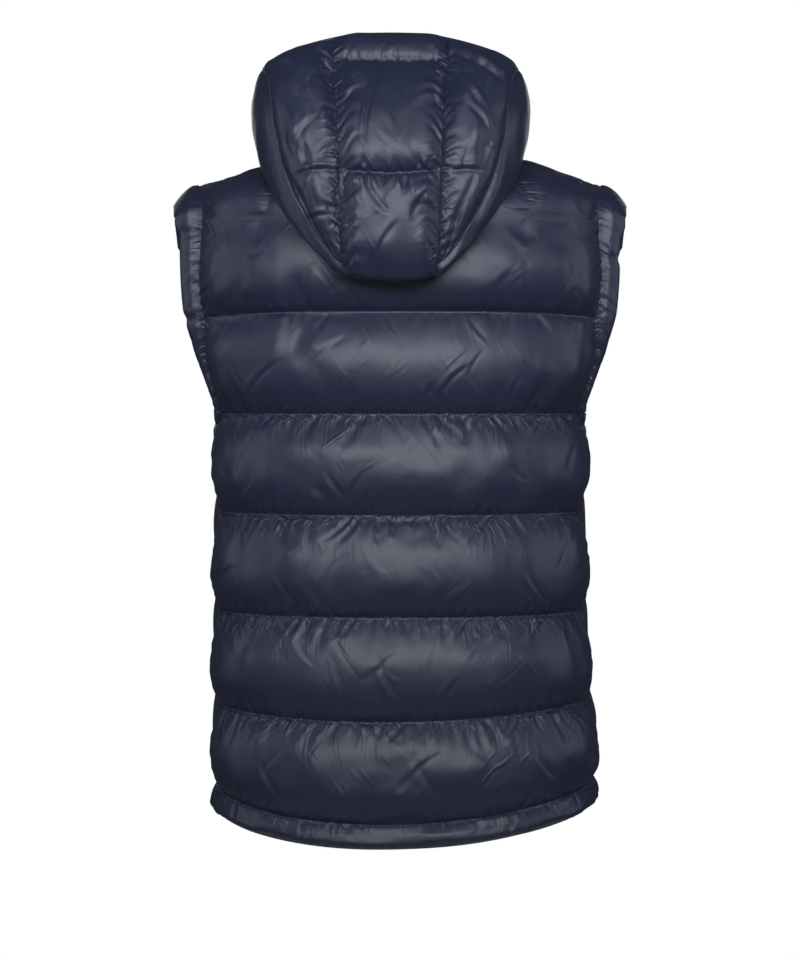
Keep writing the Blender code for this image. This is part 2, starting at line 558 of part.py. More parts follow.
# Pull: hangs from its crossbar and swings out and up about it.
PULL_LONG = 32.0
pull = block("zip_pull", (-3.5, PULL_Y - 0.8, SLIDER_Z - PULL_LONG),
             (3.5, PULL_Y + 0.8, SLIDER_Z + 0.8), METAL)
window = block("pull_window", (-1.9, PULL_Y - 2.0, SLIDER_Z - 7.2),
               (1.9, PULL_Y + 2.0, SLIDER_Z - 0.8), METAL)
combine(pull, window, "DIFFERENCE")
pivot = np.array([0.0, PULL_Y, SLIDER_Z]) * MM
for thing in (pull, window):
    for vert in thing.data.vertices:
        vert.co = np.array(vert.co) - pivot
    thing.location = pivot
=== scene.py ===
import math
import bmesh
import bpy
import numpy as np
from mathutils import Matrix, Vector


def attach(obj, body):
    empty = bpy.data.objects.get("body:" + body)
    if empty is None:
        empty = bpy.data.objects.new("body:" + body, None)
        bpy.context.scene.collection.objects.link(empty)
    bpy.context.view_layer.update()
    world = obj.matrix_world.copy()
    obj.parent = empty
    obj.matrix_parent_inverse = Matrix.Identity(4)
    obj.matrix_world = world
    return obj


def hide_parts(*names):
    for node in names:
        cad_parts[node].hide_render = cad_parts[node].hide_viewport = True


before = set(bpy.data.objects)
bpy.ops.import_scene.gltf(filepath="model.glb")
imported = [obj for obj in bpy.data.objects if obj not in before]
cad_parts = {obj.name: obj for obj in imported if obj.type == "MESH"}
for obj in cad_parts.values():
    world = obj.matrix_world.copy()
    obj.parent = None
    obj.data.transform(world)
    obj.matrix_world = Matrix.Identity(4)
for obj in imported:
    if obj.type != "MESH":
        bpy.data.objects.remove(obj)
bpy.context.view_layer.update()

mm = 0.001
print("frame loaded")

# Sizes shared with the solids, in millimetres.
bodyTable = {
    "z": [-700.0, -620.0, -540.0, -450.0, -350.0, -262.0, -215.0, -180.0, -147.0, -100.0, -57.0],
    "halfWide": [188.0, 187.0, 185.0, 181.0, 179.5, 180.0, 191.0, 203.0, 209.0, 211.0, 211.0],
    "halfDeep": [127.0, 127.0, 127.0, 126.0, 125.0, 125.0, 125.0, 125.0, 126.0, 127.0, 126.0],
}
armholeTable = {
    "z": [-700.0, -262.0, -257.0, -247.0, -230.0, -205.0, -190.0, -175.0, -147.0, -57.0],
    "back": [81.0, 81.0, 76.0, 72.0, 70.0, 69.0, 67.5, 65.0, 63.0, 63.0],
    "front": [81.0, 81.0, 87.0, 94.0, 100.0, 106.0, 109.0, 111.0, 112.0, 112.0],
}
shoulderTable = {"x": [92.0, 135.0, 180.0, 200.0], "z": [3.0, -7.0, -16.5, -22.0]}
neckTable = {"angle": [0.0, 60.0, 93.0, 120.0, 150.0, 180.0], "z": [6.0, 6.0, 3.0, -10.0, -34.0, -42.0]}
neckHalfWide = 92.0
neckHalfDeep = 86.0
squareness = 2.4
neckShare = 0.55
shoulderAngle = 93.0
shoulderY = -4.0
sideAngle = armholeTable["back"][0]
backSeams = [-57.0, -152.0, -249.0, -345.0, -442.0, -538.0, -638.0]
frontSeams = [-110.0, -210.0, -308.0, -407.0, -507.0, -603.0]
hemSideLift = 25.0
hemPower = 2.2
hemHalfWide = 187.0
sideHem = backSeams[-1] + hemSideLift * (hemHalfWide / bodyTable["halfWide"][0]) ** hemPower
hemTall = 24.0
zipHalfGap = 7.0
wall = 3.0


def curve(at, knots, values):
    at = np.asarray(at, float)
    knots = np.asarray(knots, float)
    values = np.asarray(values, float)
    step = np.diff(knots)
    rise = np.diff(values) / step
    slope = np.zeros(len(knots))
    slope[0] = rise[0]
    slope[-1] = rise[-1]
    for k in range(1, len(knots) - 1):
        if rise[k - 1] * rise[k] > 0:
            first = 2 * step[k] + step[k - 1]
            second = step[k] + 2 * step[k - 1]
            slope[k] = (first + second) / (first / rise[k - 1] + second / rise[k])
    cell = np.clip(np.searchsorted(knots, at) - 1, 0, len(step) - 1)
    t = np.clip((at - knots[cell]) / step[cell], 0.0, 1.0)
    return (values[cell] * (1 + 2 * t) * (1 - t) ** 2 + values[cell + 1] * t * t * (3 - 2 * t)
            + step[cell] * (slope[cell] * t * (1 - t) ** 2 - slope[cell + 1] * t * t * (1 - t)))


def unit(vectors):
    return vectors / np.maximum(np.linalg.norm(vectors, axis=-1, keepdims=True), 1e-9)


def ease(distance, reach):
    part = np.clip(distance / reach, 0, 1)
    return part * (2 - part)


def body(angle, z):
    angle, z = np.broadcast_arrays(np.asarray(angle, float), np.asarray(z, float))
    wide = curve(z, bodyTable["z"], bodyTable["halfWide"])
    deep = curve(z, bodyTable["z"], bodyTable["halfDeep"])
    s = np.sin(np.radians(angle))
    c = np.cos(np.radians(angle))
    sx = np.sign(s) * np.abs(s) ** (2 / squareness)
    sy = np.sign(c) * np.abs(c) ** (2 / squareness)
    nx = np.sign(s) * np.abs(sx) ** (squareness - 1) / wide
    ny = np.sign(c) * np.abs(sy) ** (squareness - 1) / deep
    return np.stack([wide * sx, deep * sy, z], -1), unit(np.stack([nx, ny, np.zeros_like(nx)], -1))


def neck(angle):
    angle = np.asarray(angle, float)
    turn = np.radians(angle)
    height = curve(np.abs(angle), neckTable["angle"], neckTable["z"])
    return np.stack([neckHalfWide * np.sin(turn), neckHalfDeep * np.cos(turn), height], -1)


def topEdge(share, startAngle):
    share = np.asarray(share, float)
    line = neck(startAngle + (shoulderAngle - startAngle) * np.clip(share / neckShare, 0, 1))
    out = np.clip((share - neckShare) / (1 - neckShare), 0, 1)
    x = shoulderTable["x"][0] + (shoulderTable["x"][-1] - shoulderTable["x"][0]) * out
    seam = np.stack([x, np.full_like(x, shoulderY), curve(x, shoulderTable["x"], shoulderTable["z"])], -1)
    return np.where((share <= neckShare)[..., None], line, seam)


def overShoulder(foot, level, top, turn, share):
    rise = np.radians(turn)[:, None, None]
    finish = (40.0 + 50.0 * np.clip(share / neckShare, 0, 1) ** 2)[None, :, None] / 90.0
    reach = (top - foot)[None]
    levelPart = (1 - np.cos(rise * finish)) / (1 - np.cos(math.pi / 2 * finish))
    uprightPart = np.sin(rise * finish) / np.sin(math.pi / 2 * finish)
    place = foot[None] + reach * [1.0, 1.0, 0.0] * levelPart + reach * [0.0, 0.0, 1.0] * uprightPart
    return place, unit(level[None] * np.cos(rise) + np.array([0.0, 0.0, 1.0]) * np.sin(rise))


swellShape = {"lead": 1.12, "round": 2.3}


def swell(through):
    # Fullness of a channel from seam to seam, a little fuller low down.
    return 1 - np.abs(2 * np.clip(through, 0, 1) ** swellShape["lead"] - 1) ** swellShape["round"]


def hemRise(x):
    # How much higher the lower edge of the back is at a place across.
    return hemSideLift * np.clip(np.abs(x) / bodyTable["halfWide"][0], 0, 1) ** hemPower


def runAcross(points):
    # Length in mm along each row of a grid of points.
    return np.cumsum(np.linalg.norm(np.diff(points, axis=1, prepend=points[:, :1]), axis=2), axis=1)


def runDown(points):
    # Length in mm down each column of a grid of points.
    return np.cumsum(np.linalg.norm(np.diff(points, axis=0, prepend=points[:1]), axis=2), axis=0)


def runAlong(line):
    # Length in mm along a line of points.
    return np.concatenate([[0.0], np.cumsum(np.linalg.norm(np.diff(line, axis=0), axis=1))])


def placesAt(at, run, line):
    return np.stack([np.interp(at, run, line[:, k]) for k in range(3)], -1)


def sided(name, flip):
    return name + ("_right" if flip else "_left")


def heldEdges(shape, rows):
    # Sewn points of a sheet: its two sides and the given rows.
    held = np.zeros(shape)
    held[list(rows)] = 1.0
    held[:, 0] = held[:, -1] = 1.0
    return held


def ripple(rows, cols, spacing, seed):
    # Smooth seeded unevenness over a grid, about one unit high, with the given spacing in cells.
    rng = np.random.default_rng(seed)
    tallCount = max(4, int(rows / spacing[0]) + 3)
    wideCount = max(4, int(cols / spacing[1]) + 3)
    coarse = rng.normal(size=(tallCount, wideCount))
    r = np.linspace(1, tallCount - 2.001, rows)
    c = np.linspace(1, wideCount - 2.001, cols)
    r0 = r.astype(int)
    c0 = c.astype(int)
    fr = (r - r0)[:, None]
    fc = (c - c0)[None, :]
    fr = fr * fr * (3 - 2 * fr)
    fc = fc * fc * (3 - 2 * fc)
    upper = coarse[np.ix_(r0, c0)] * (1 - fc) + coarse[np.ix_(r0, c0 + 1)] * fc
    lower = coarse[np.ix_(r0 + 1, c0)] * (1 - fc) + coarse[np.ix_(r0 + 1, c0 + 1)] * fc
    return upper * (1 - fr) + lower * fr


def sheet(name, place):
    # Grid mesh whose points are put at place[row, column], in millimetres.
    rows, cols = place.shape[:2]
    work = bmesh.new()
    bmesh.ops.create_grid(work, x_segments=cols - 1, y_segments=rows - 1, size=1.0)
    order = np.zeros((rows, cols), int)
    for vert in work.verts:
        c = round((vert.co.x + 1) / 2 * (cols - 1))
        r = round((vert.co.y + 1) / 2 * (rows - 1))
        order[r, c] = vert.index
        vert.co = place[r, c] * mm
    mesh = bpy.data.meshes.new(name)
    work.to_mesh(mesh)
    work.free()
    thing = bpy.data.objects.new(name, mesh)
    bpy.context.collection.objects.link(thing)
    return thing, order


def readPoints(mesh):
    flat = np.zeros(len(mesh.vertices) * 3)
    mesh.vertices.foreach_get("co", flat)
    return flat.reshape(-1, 3)


clothStuff = {
    "mass": 0.3, "tension_stiffness": 15, "compression_stiffness": 15, "shear_stiffness": 5,
    "tension_damping": 5, "compression_damping": 5, "shear_damping": 5, "bending_damping": 0.5,
    "air_damping": 3, "pin_stiffness": 1.0, "shrink_min": 0.0, "use_pressure": True,
    "vertex_group_mass": "sewn", "vertex_group_shrink": "loose",
}


def settle(thing, order, held, slack, settings):
    # Blow the sheet out by cloth simulation, sewn points held, then keep the shape.
    rows, cols = order.shape
    pins = thing.vertex_groups.new(name="sewn")
    loose = thing.vertex_groups.new(name="loose")
    for r in range(rows):
        for c in range(cols):
            index = [int(order[r, c])]
            if held[r, c] > 0:
                pins.add(index, float(held[r, c]), "REPLACE")
            loose.add(index, float(slack[r, c]), "REPLACE")
    cloth = thing.modifiers.new("cloth", "CLOTH")
    rule = cloth.settings
    for key, value in clothStuff.items():
        setattr(rule, key, value)
    rule.quality = settings["quality"]
    rule.bending_stiffness = settings["bend"]
    rule.effector_weights.gravity = 0
    rule.uniform_pressure_force = settings["pressure"]
    rule.shrink_max = -settings["extra"]
    cloth.point_cache.frame_start = 1
    cloth.point_cache.frame_end = settings["frames"]
    scene = bpy.context.scene
    before = readPoints(thing.data)
    for step in range(1, settings["frames"] + 1):
        scene.frame_set(step)
    graph = bpy.context.evaluated_depsgraph_get()
    after = readPoints(thing.evaluated_get(graph).data)
    move = after - before
    size = np.linalg.norm(move, axis=1, keepdims=True)
    cap = settings["cap"] * mm
    move *= np.minimum(1.0, cap / np.maximum(size, 1e-9))
    thing.modifiers.remove(cloth)
    thing.vertex_groups.clear()
    thing.data.vertices.foreach_set("co", (before + move).ravel())
    thing.data.update()
    scene.frame_set(1)
    print("settled", thing.name, "mean and largest move in mm", size.mean() / mm, size.max() / mm)


weldReach = 0.00002


def weld(thing):
    # Joins the points that meet.
    work = bmesh.new()
    work.from_mesh(thing.data)
    bmesh.ops.remove_doubles(work, verts=work.verts[:], dist=weldReach)
    work.to_mesh(thing.data)
    work.free()


def discard(thing):
    mesh = thing.data
    bpy.data.objects.remove(thing, do_unlink=True)
    bpy.data.meshes.remove(mesh)


def backLining(thing, place):
    # Plain inside face joined to a settled sheet.
    inside, _ = sheet(thing.name + "_inside", place[:, ::-1])
    work = bmesh.new()
    work.from_mesh(thing.data)
    work.from_mesh(inside.data)
    for face in work.faces:
        face.smooth = True
    work.to_mesh(thing.data)
    work.free()
    discard(inside)


def smoothOnce(thing):
    for face in thing.data.polygons:
        face.use_smooth = True


def mirrored(place):
    return place * np.array([-1.0, 1.0, 1.0])


def channelRows(seams, steps):
    # Row heights and the share of each row through its channel.
    heights = []
    through = []
    for upper, lower in zip(seams[:-1], seams[1:]):
        for k in range(steps):
            heights.append(upper + (lower - upper) * k / steps)
            through.append(k / steps)
    heights.append(seams[-1])
    through.append(0.0)
    return np.array(heights), np.array(through)


def finer(values, times, breaks):
    # Cuts every gap along the first axis into equal parts, smooth but kept sharp at the breaks.
    slope = np.gradient(values, axis=0)
    ahead = slope.copy()
    behind = slope.copy()
    for k in breaks:
        if k < len(values) - 1:
            ahead[k] = 2 * (values[k + 1] - values[k]) - slope[k + 1]
        if k > 0:
            behind[k] = 2 * (values[k] - values[k - 1]) - slope[k - 1]
    t = (np.arange(times) / times).reshape((1, times) + (1,) * (values.ndim - 1))
    start = values[:-1, None]
    end = values[1:, None]
    mixed = start * (1 + 2 * t) * (1 - t) ** 2 + end * t * t * (3 - 2 * t)
    mixed = mixed + ahead[:-1, None] * t * (1 - t) ** 2 - behind[1:, None] * t * t * (1 - t)
    return np.concatenate([mixed.reshape((-1,) + values.shape[1:]), values[-1:]])


def gridOut(points):
    across = np.gradient(points, axis=1)
    down = np.gradient(points, axis=0)
    return unit(np.cross(across, down))


puckerShape = {"start": 0.75, "widen": 26.0, "sharp": 1.5, "lipAt": 1.9, "lipSharp": 1.7, "lip": 0.62}


def gathers(along, way, marks):
    # Puckers that fan out from a sewn line: along it and away from it in mm.
    shape = puckerShape
    total = np.zeros(along.shape)
    for at, deep, wide, reach, tilt, bend in marks:
        off = along - at - tilt * way - bend * way ** 2
        spread = wide * (shape["start"] + way / shape["widen"])
        fold = np.exp(-np.abs(off / spread) ** shape["sharp"])
        beside = np.exp(-np.abs((np.abs(off) - shape["lipAt"] * spread) / spread) ** shape["lipSharp"])
        total += deep * (shape["lip"] * beside - fold) * np.exp(-(way / reach) ** 2)
    return total


def gatherMarks(start, end, spec, seed):
    # Uneven places for puckers along a line: many short ones and fewer long slanting ones.
    rng = np.random.default_rng(seed)
    marks = []
    for kind in ("short", "long"):
        own = spec[kind]
        at = start + rng.uniform(0.2, 1.0) * own["apart"][0]
        while at < end:
            slant = rng.uniform(*own["tilt"]) * rng.choice([-1.0, 1.0])
            deep = rng.uniform(*own["deep"]) * spec["deep"]
            reach = rng.uniform(*own["reach"]) * spec["reach"]
            marks.append((at, deep, rng.uniform(*own["wide"]), reach, slant, rng.normal(0, 0.006)))
            at += rng.uniform(*own["apart"]) * spec["apart"]
    return marks


def seamGathers(points, sewnRows, sewnCols, spec, seed):
    # Puckers off the sewn rows and columns of a fine grid of points.
    across = runAcross(points)
    down = runDown(points)
    across = across - across[:, -1:] / 2
    total = np.zeros(points.shape[:2])
    window = 2.0 * spec["reach"] * spec["long"]["reach"][1]
    for k, r in enumerate(sewnRows):
        half = across[r, -1]
        way = down - down[r]
        for side, size in ((1.0, spec["below"]), (-1.0, spec["above"])):
            near = np.flatnonzero((side * way).max(axis=1).clip(0) * ((side * way).min(axis=1) < window))
            if len(near) == 0 or size == 0:
                continue
            band = slice(near.min(), near.max() + 1)
            marks = gatherMarks(-half, half, spec, seed + 2 * k + (side < 0))
            total[band] += size * gathers(across[band], np.clip(side * way[band], 0, None), marks)
    for k, c in enumerate(sewnCols):
        way = across - across[:, c][:, None]
        for side in (1.0, -1.0):
            near = np.flatnonzero((side * way).max(axis=0).clip(0) * ((side * way).min(axis=0) < window))
            if len(near) == 0:
                continue
            band = slice(near.min(), near.max() + 1)
            marks = gatherMarks(0.0, down[-1, c], spec, seed + 40 + 2 * k + (side < 0))
            fold = gathers(down[:, band], np.clip(side * way[:, band], 0, None), marks)
            total[:, band] += fold * spec["beside"]
    return total


creaseShape = {
    "bow": 0.07, "fade": 3, "sharp": 1.5, "lipAt": 2.0, "lipWide": 1.3, "lipSharp": 1.7, "lip": 0.65,
}


def crease(x, z, line):
    # Soft trough with a raised lip from one point to another, in mm seen square on.
    shape = creaseShape
    x0, z0, x1, z1, deep, wide = line
    dx = x1 - x0
    dz = z1 - z0
    length = math.hypot(dx, dz)
    part = ((x - x0) * dx + (z - z0) * dz) / length ** 2
    off = ((x - x0) * -dz + (z - z0) * dx) / length
    bow = off - shape["bow"] * length * np.sin(math.pi * np.clip(part, 0, 1))
    fade = np.clip(1 - np.abs(2 * part - 1) ** shape["fade"], 0, 1) * ((part > 0) & (part < 1))
    trough = np.exp(-np.abs(bow / wide) ** shape["sharp"])
    lip = np.exp(-np.abs((bow - shape["lipAt"] * wide) / (shape["lipWide"] * wide)) ** shape["lipSharp"])
    return -deep * fade * (trough - shape["lip"] * lip)


def addCreases(total, x, z, lines, size=1.0):
    for line in lines:
        total += crease(x, z, line) * size


def looseFolds(count, box, spec, seed):
    # Seeded slanting creases over a box of x and z, in mm.
    rng = np.random.default_rng(seed)
    lines = []
    for _ in range(count):
        x = rng.uniform(box[0], box[1])
        z = rng.uniform(box[2], box[3])
        long = rng.uniform(*spec["long"])
        lean = rng.uniform(*spec["lean"]) * rng.choice([-1.0, 1.0])
        deep = rng.uniform(*spec["deep"])
        wide = rng.uniform(*spec["wide"])
        lines.append((x, z, x + long * math.sin(lean), z - long * math.cos(lean), deep, wide))
    return lines


# Materials
def srgb(code):
    parts = [int(code[k:k + 2], 16) / 255 for k in (1, 3, 5)]
    return tuple(p / 12.92 if p <= 0.04045 else ((p + 0.055) / 1.055) ** 2.4 for p in parts) + (1.0,)


def addNode(tree, kind, values=None, **settings):
    node = tree.nodes.new(kind)
    for key, value in settings.items():
        setattr(node, key, value)
    for key, value in (values or {}).items():
        node.inputs[key].default_value = value
    return node


def startFinish(spec):
    finish = bpy.data.materials.new(spec["name"])
    finish.use_nodes = True
    shader = finish.node_tree.nodes["Principled BSDF"]
    shader.inputs["Base Color"].default_value = srgb(spec["colour"])
    shader.inputs["Roughness"].default_value = spec["roughness"]
    return finish, finish.node_tree, shader


# Tight satin nylon over loose fill: a broad soft shine that breaks up where the sewing gathers it.
# The weave is drawn several times coarser than real, so that it shows.
nylon = {
    "name": "satin_navy_nylon", "colour": "#1e2439", "roughness": 0.45, "specular": 0.5,
    "sheen": 0.05, "sheenTint": "#8d93ab", "sheenRough": 0.4,
    "weaveMm": 0.45, "weaveDeepMm": 0.2, "crumpleMm": 9.0, "crumpleDeepMm": 1.2,
    "gatherMm": (7.0, 30.0), "gatherDeepMm": 2.2,
    "creaseMm": (11.0, 60.0), "creaseDeepMm": 0.7, "patchMm": 55.0,
}


def ridges(tree, lay, turn, sizeMm, strength, detail):
    # Sharp uneven ridges over the cloth's own measure, turned and stretched to the two sizes.
    c = math.cos(turn)
    s = math.sin(turn)
    both = addNode(tree, "ShaderNodeCombineXYZ")
    for axis, x, y, size in (("X", c, s, sizeMm[0]), ("Y", -s, c, sizeMm[1])):
        way = {1: (x / size, y / size, 0.0)}
        dot = addNode(tree, "ShaderNodeVectorMath", way, operation="DOT_PRODUCT")
        tree.links.new(lay, dot.inputs[0])
        tree.links.new(dot.outputs["Value"], both.inputs[axis])
    look = {"Scale": 1.0, "Detail": detail, "Roughness": 0.5, "Distortion": 0.7}
    noise = addNode(tree, "ShaderNodeTexNoise", look, noise_dimensions="2D",
                    noise_type="RIDGED_MULTIFRACTAL", normalize=True)
    sized = addNode(tree, "ShaderNodeMath", operation="MULTIPLY")
    tree.links.new(both.outputs["Vector"], noise.inputs["Vector"])
    tree.links.new(noise.outputs["Fac"], sized.inputs[0])
    tree.links.new(strength, sized.inputs[1])
    return sized.outputs["Value"]


def patches(tree, lay, sizeMm, shift, strength):
    # Uneven patches over the cloth's own measure, none between them.
    shifted = {1: (1 / sizeMm,) * 3, 2: (shift, shift, 0.0)}
    move = addNode(tree, "ShaderNodeVectorMath", shifted, operation="MULTIPLY_ADD")
    noise = addNode(tree, "ShaderNodeTexNoise", {"Scale": 1.0, "Detail": 1.0}, noise_dimensions="2D")
    span = {"From Min": 0.5, "From Max": 0.72, "To Min": 0.0, "To Max": strength}
    keep = addNode(tree, "ShaderNodeMapRange", span)
    tree.links.new(lay, move.inputs[0])
    tree.links.new(move.outputs["Vector"], noise.inputs["Vector"])
    tree.links.new(noise.outputs["Fac"], keep.inputs["Value"])
    return keep.outputs["Result"]


def summed(tree, parts):
    total = parts[0]
    for part in parts[1:]:
        add = addNode(tree, "ShaderNodeMath", operation="ADD")
        tree.links.new(total, add.inputs[0])
        tree.links.new(part, add.inputs[1])
        total = add.outputs["Value"]
    return total


def grainBump(tree, sizeMm, detail, strength, deepMm):
    # Even grain of the given size over the object's own measure.
    spot = addNode(tree, "ShaderNodeTexCoord")
    noise = addNode(tree, "ShaderNodeTexNoise", {"Scale": 1000 / sizeMm / 2, "Detail": detail})
    bump = addNode(tree, "ShaderNodeBump", {"Strength": strength, "Distance": deepMm * mm})
    tree.links.new(spot.outputs["Object"], noise.inputs["Vector"])
    tree.links.new(noise.outputs["Fac"], bump.inputs["Height"])
    return bump


def makeNylon(spec):
    finish, tree, shader = startFinish(spec)
    shader.inputs["Specular IOR Level"].default_value = spec["specular"]
    shader.inputs["Sheen Weight"].default_value = spec["sheen"]
    shader.inputs["Sheen Tint"].default_value = srgb(spec["sheenTint"])
    shader.inputs["Sheen Roughness"].default_value = spec["sheenRough"]
    lay = addNode(tree, "ShaderNodeAttribute", attribute_name="lay").outputs["Vector"]
    rows = addNode(tree, "ShaderNodeAttribute", attribute_name="rowGather").outputs["Fac"]
    cols = addNode(tree, "ShaderNodeAttribute", attribute_name="colGather").outputs["Fac"]
    share = spec["creaseDeepMm"] / spec["gatherDeepMm"]
    height = summed(tree, [
        ridges(tree, lay, 0.0, spec["gatherMm"], rows, 2.0),
        ridges(tree, lay, math.pi / 2, spec["gatherMm"], cols, 2.0),
        ridges(tree, lay, 0.55, spec["creaseMm"], patches(tree, lay, spec["patchMm"], 3.0, share), 1.0),
        ridges(tree, lay, -0.8, spec["creaseMm"], patches(tree, lay, spec["patchMm"], 11.0, share), 1.0),
    ])
    fine = grainBump(tree, spec["weaveMm"], 1.0, 0.05, spec["weaveDeepMm"])
    coarse = grainBump(tree, spec["crumpleMm"], 3.0, 0.2, spec["crumpleDeepMm"])
    gather = addNode(tree, "ShaderNodeBump", {"Strength": 1.0, "Distance": spec["gatherDeepMm"] * mm})
    tree.links.new(height, gather.inputs["Height"])
    tree.links.new(gather.outputs["Normal"], coarse.inputs["Normal"])
    tree.links.new(coarse.outputs["Normal"], fine.inputs["Normal"])
    tree.links.new(fine.outputs["Normal"], shader.inputs["Normal"])
    return finish


nylonFinish = makeNylon(nylon)
# Polyester sewing thread: a shade lighter than the cloth and dull, so that a stitch line just shows.
thread = {
    "name": "navy_polyester_thread", "colour": "#3d435a", "roughness": 0.6, "metal": 0.0,
    "grainMm": 0.3, "grainDeepMm": 0.05,
}
# Woven zip tape: dark and matt, it gives hardly any shine. Its weave is drawn coarser than real.
tape = {
    "name": "woven_navy_tape", "colour": "#181c2c", "roughness": 0.75, "metal": 0.0,
    "grainMm": 0.6, "grainDeepMm": 0.1,
}
# Moulded resin teeth: smooth, each with a small bright spot.
resin = {
    "name": "moulded_navy_resin", "colour": "#20263a", "roughness": 0.35, "metal": 0.0,
    "grainMm": 3.0, "grainDeepMm": 0.02,
}
# Brushed gunmetal slider and pull: grey metal with a blurred shine. Its grain is drawn coarser than real.
gunmetal = {
    "name": "brushed_gunmetal", "colour": "#6b6e74", "roughness": 0.32, "metal": 1.0,
    "grainMm": 0.8, "grainDeepMm": 0.02,
}


def makePlain(spec):
    finish, tree, shader = startFinish(spec)
    shader.inputs["Metallic"].default_value = spec["metal"]
    bump = grainBump(tree, spec["grainMm"], 2.0, 1.0, spec["grainDeepMm"])
    tree.links.new(bump.outputs["Normal"], shader.inputs["Normal"])
    return finish


threadFinish = makePlain(thread)
tapeFinish = makePlain(tape)
resinFinish = makePlain(resin)
metalFinish = makePlain(gunmetal)


def manyBlocks(name, middles, ways, sizes, finish):
    # Joined small blocks, each at its middle with its three directions and full sizes in mm.
    corners = np.array([(x, y, z) for x in (-0.5, 0.5) for y in (-0.5, 0.5) for z in (-0.5, 0.5)])
    faces = np.array([(0, 1, 3, 2), (4, 6, 7, 5), (0, 4, 5, 1), (2, 3, 7, 6), (0, 2, 6, 4), (1, 5, 7, 3)])
    points = middles[:, None] + np.einsum("ck,nkj->ncj", corners * np.array(sizes), ways)
    order = (np.arange(len(middles)) * 8)[:, None, None] + faces[None]
    mesh = bpy.data.meshes.new(name)
    mesh.from_pydata((points.reshape(-1, 3) * mm).tolist(), [], order.reshape(-1, 4).tolist())
    mesh.materials.append(finish)
    thing = bpy.data.objects.new(name, mesh)
    bpy.context.collection.objects.link(thing)
    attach(thing, "gilet")
    return thing


def spaced(line, out, pitch, start):
    # Even places along a line in mm, with the direction along it, the outward one and the one beside it.
    run = runAlong(line)
    at = np.arange(start, run[-1] - pitch / 2, pitch)
    middle = placesAt(at, run, line)
    along = unit(placesAt(at + 0.4, run, line) - middle)
    facing = placesAt(at, run, out)
    facing = unit(facing - along * np.sum(facing * along, axis=1)[:, None])
    return middle, np.stack([along, facing, np.cross(along, facing)], 1)


stitching = {"pitch": 3.7, "size": (2.7, 0.5, 0.55), "proud": 0.25}
stitchLines = []


def addStitches(name, lines, spec):
    middles = []
    ways = []
    for line, out in lines:
        middle, way = spaced(line + out * spec["proud"], out, spec["pitch"], spec["pitch"] / 2)
        middles.append(middle)
        ways.append(way)
    thing = manyBlocks(name, np.concatenate(middles), np.concatenate(ways), spec["size"], threadFinish)


def keepStitches(fine, rows=(), cols=()):
    # Notes sewn rows and columns of a finished piece for its stitches.
    out = gridOut(fine)
    for r in rows:
        stitchLines.append((fine[r], out[r]))
    for c in cols:
        stitchLines.append((fine[:, c], out[:, c]))


def dress(thing, nodes):
    thing.data.materials.clear()
    thing.data.materials.append(nylonFinish)
    smoothOnce(thing)
    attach(thing, "gilet")
    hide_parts(*nodes)


def keepLay(thing, order, fine, sewnRows, sewnCols, sizes):
    # Keeps each point's place in mm along and down the cloth, and how much the sewing near it gathers it.
    along = runAcross(fine)
    along = along - along[:, -1:] / 2
    down = runDown(fine)
    rows = np.zeros(along.shape)
    cols = np.zeros(along.shape)
    for r in sewnRows:
        way = down - down[r]
        rows = np.maximum(rows, np.where(way >= 0, np.exp(-way / sizes[0]), 0.8 * np.exp(way / sizes[1])))
    for c in sewnCols:
        cols = np.maximum(cols, np.exp(-np.abs(along - along[:, c][:, None]) / sizes[2]))
    count = len(thing.data.vertices)
    lay = np.zeros((count, 3))
    lay[order.ravel(), 0] = along.ravel()
    lay[order.ravel(), 1] = down.ravel()
    lay[:, 0] += 37.0 * sum(ord(letter) for letter in thing.name)
    thing.data.attributes.new("lay", "FLOAT_VECTOR", "POINT").data.foreach_set("vector", lay.ravel())
    for name, field in (("rowGather", rows), ("colGather", cols)):
        flat = np.zeros(count)
        flat[order.ravel()] = field.ravel()
        thing.data.attributes.new(name, "FLOAT", "POINT").data.foreach_set("value", flat)


wornHang = {
    "hipZ": -420.0, "hipRun": 200.0, "hipShift": 5.0,
    "hemZ": -540.0, "hemRun": 90.0, "hemDrop": 5.0, "hemWide": 150.0, "hemLeast": -0.7,
}


def leaned(points):
    # The worn hang: hips a little to one side, and the hem lower on the other.
    hang = wornHang
    hip = np.clip((hang["hipZ"] - points[..., 2]) / hang["hipRun"], 0, 1)
    foot = np.clip((hang["hemZ"] - points[..., 2]) / hang["hemRun"], 0, 1)
    moved = points.copy()
    moved[..., 0] -= hang["hipShift"] * hip * hip * (3 - 2 * hip)
    moved[..., 2] -= hang["hemDrop"] * foot * np.clip(points[..., 0] / hang["hemWide"], hang["hemLeast"], 1.0)
    return moved


# Shared making of a quilted piece
sewing = {
    "below": 1.0, "above": 0.6, "beside": 1.0, "deep": 1.0, "reach": 1.0, "apart": 1.0,
    "short": {
        "apart": (4.0, 10.0), "wide": (1.2, 2.2), "deep": (0.35, 0.9), "reach": (6.0, 14.0),
        "tilt": (0.0, 0.5),
    },
    "long": {
        "apart": (9.0, 30.0), "wide": (1.8, 3.4), "deep": (0.9, 2.0), "reach": (13.0, 29.0),
        "tilt": (0.0, 0.7),
    },
}
clothRule = {"quality": 6, "bend": 0.06, "pressure": 4.0, "extra": 0.10, "frames": 20, "cap": 16.0}
foldRule = {"long": (20.0, 52.0), "lean": (0.2, 1.0), "deep": (0.3, 0.8), "wide": (1.5, 3.0)}


def seamLines(held):
    # Held lines of a sheet that loose cloth meets.
    last = len(held) - 1
    return [k for k in range(last + 1) if held[k] and not (held[max(k - 1, 0)] and held[min(k + 1, last)])]


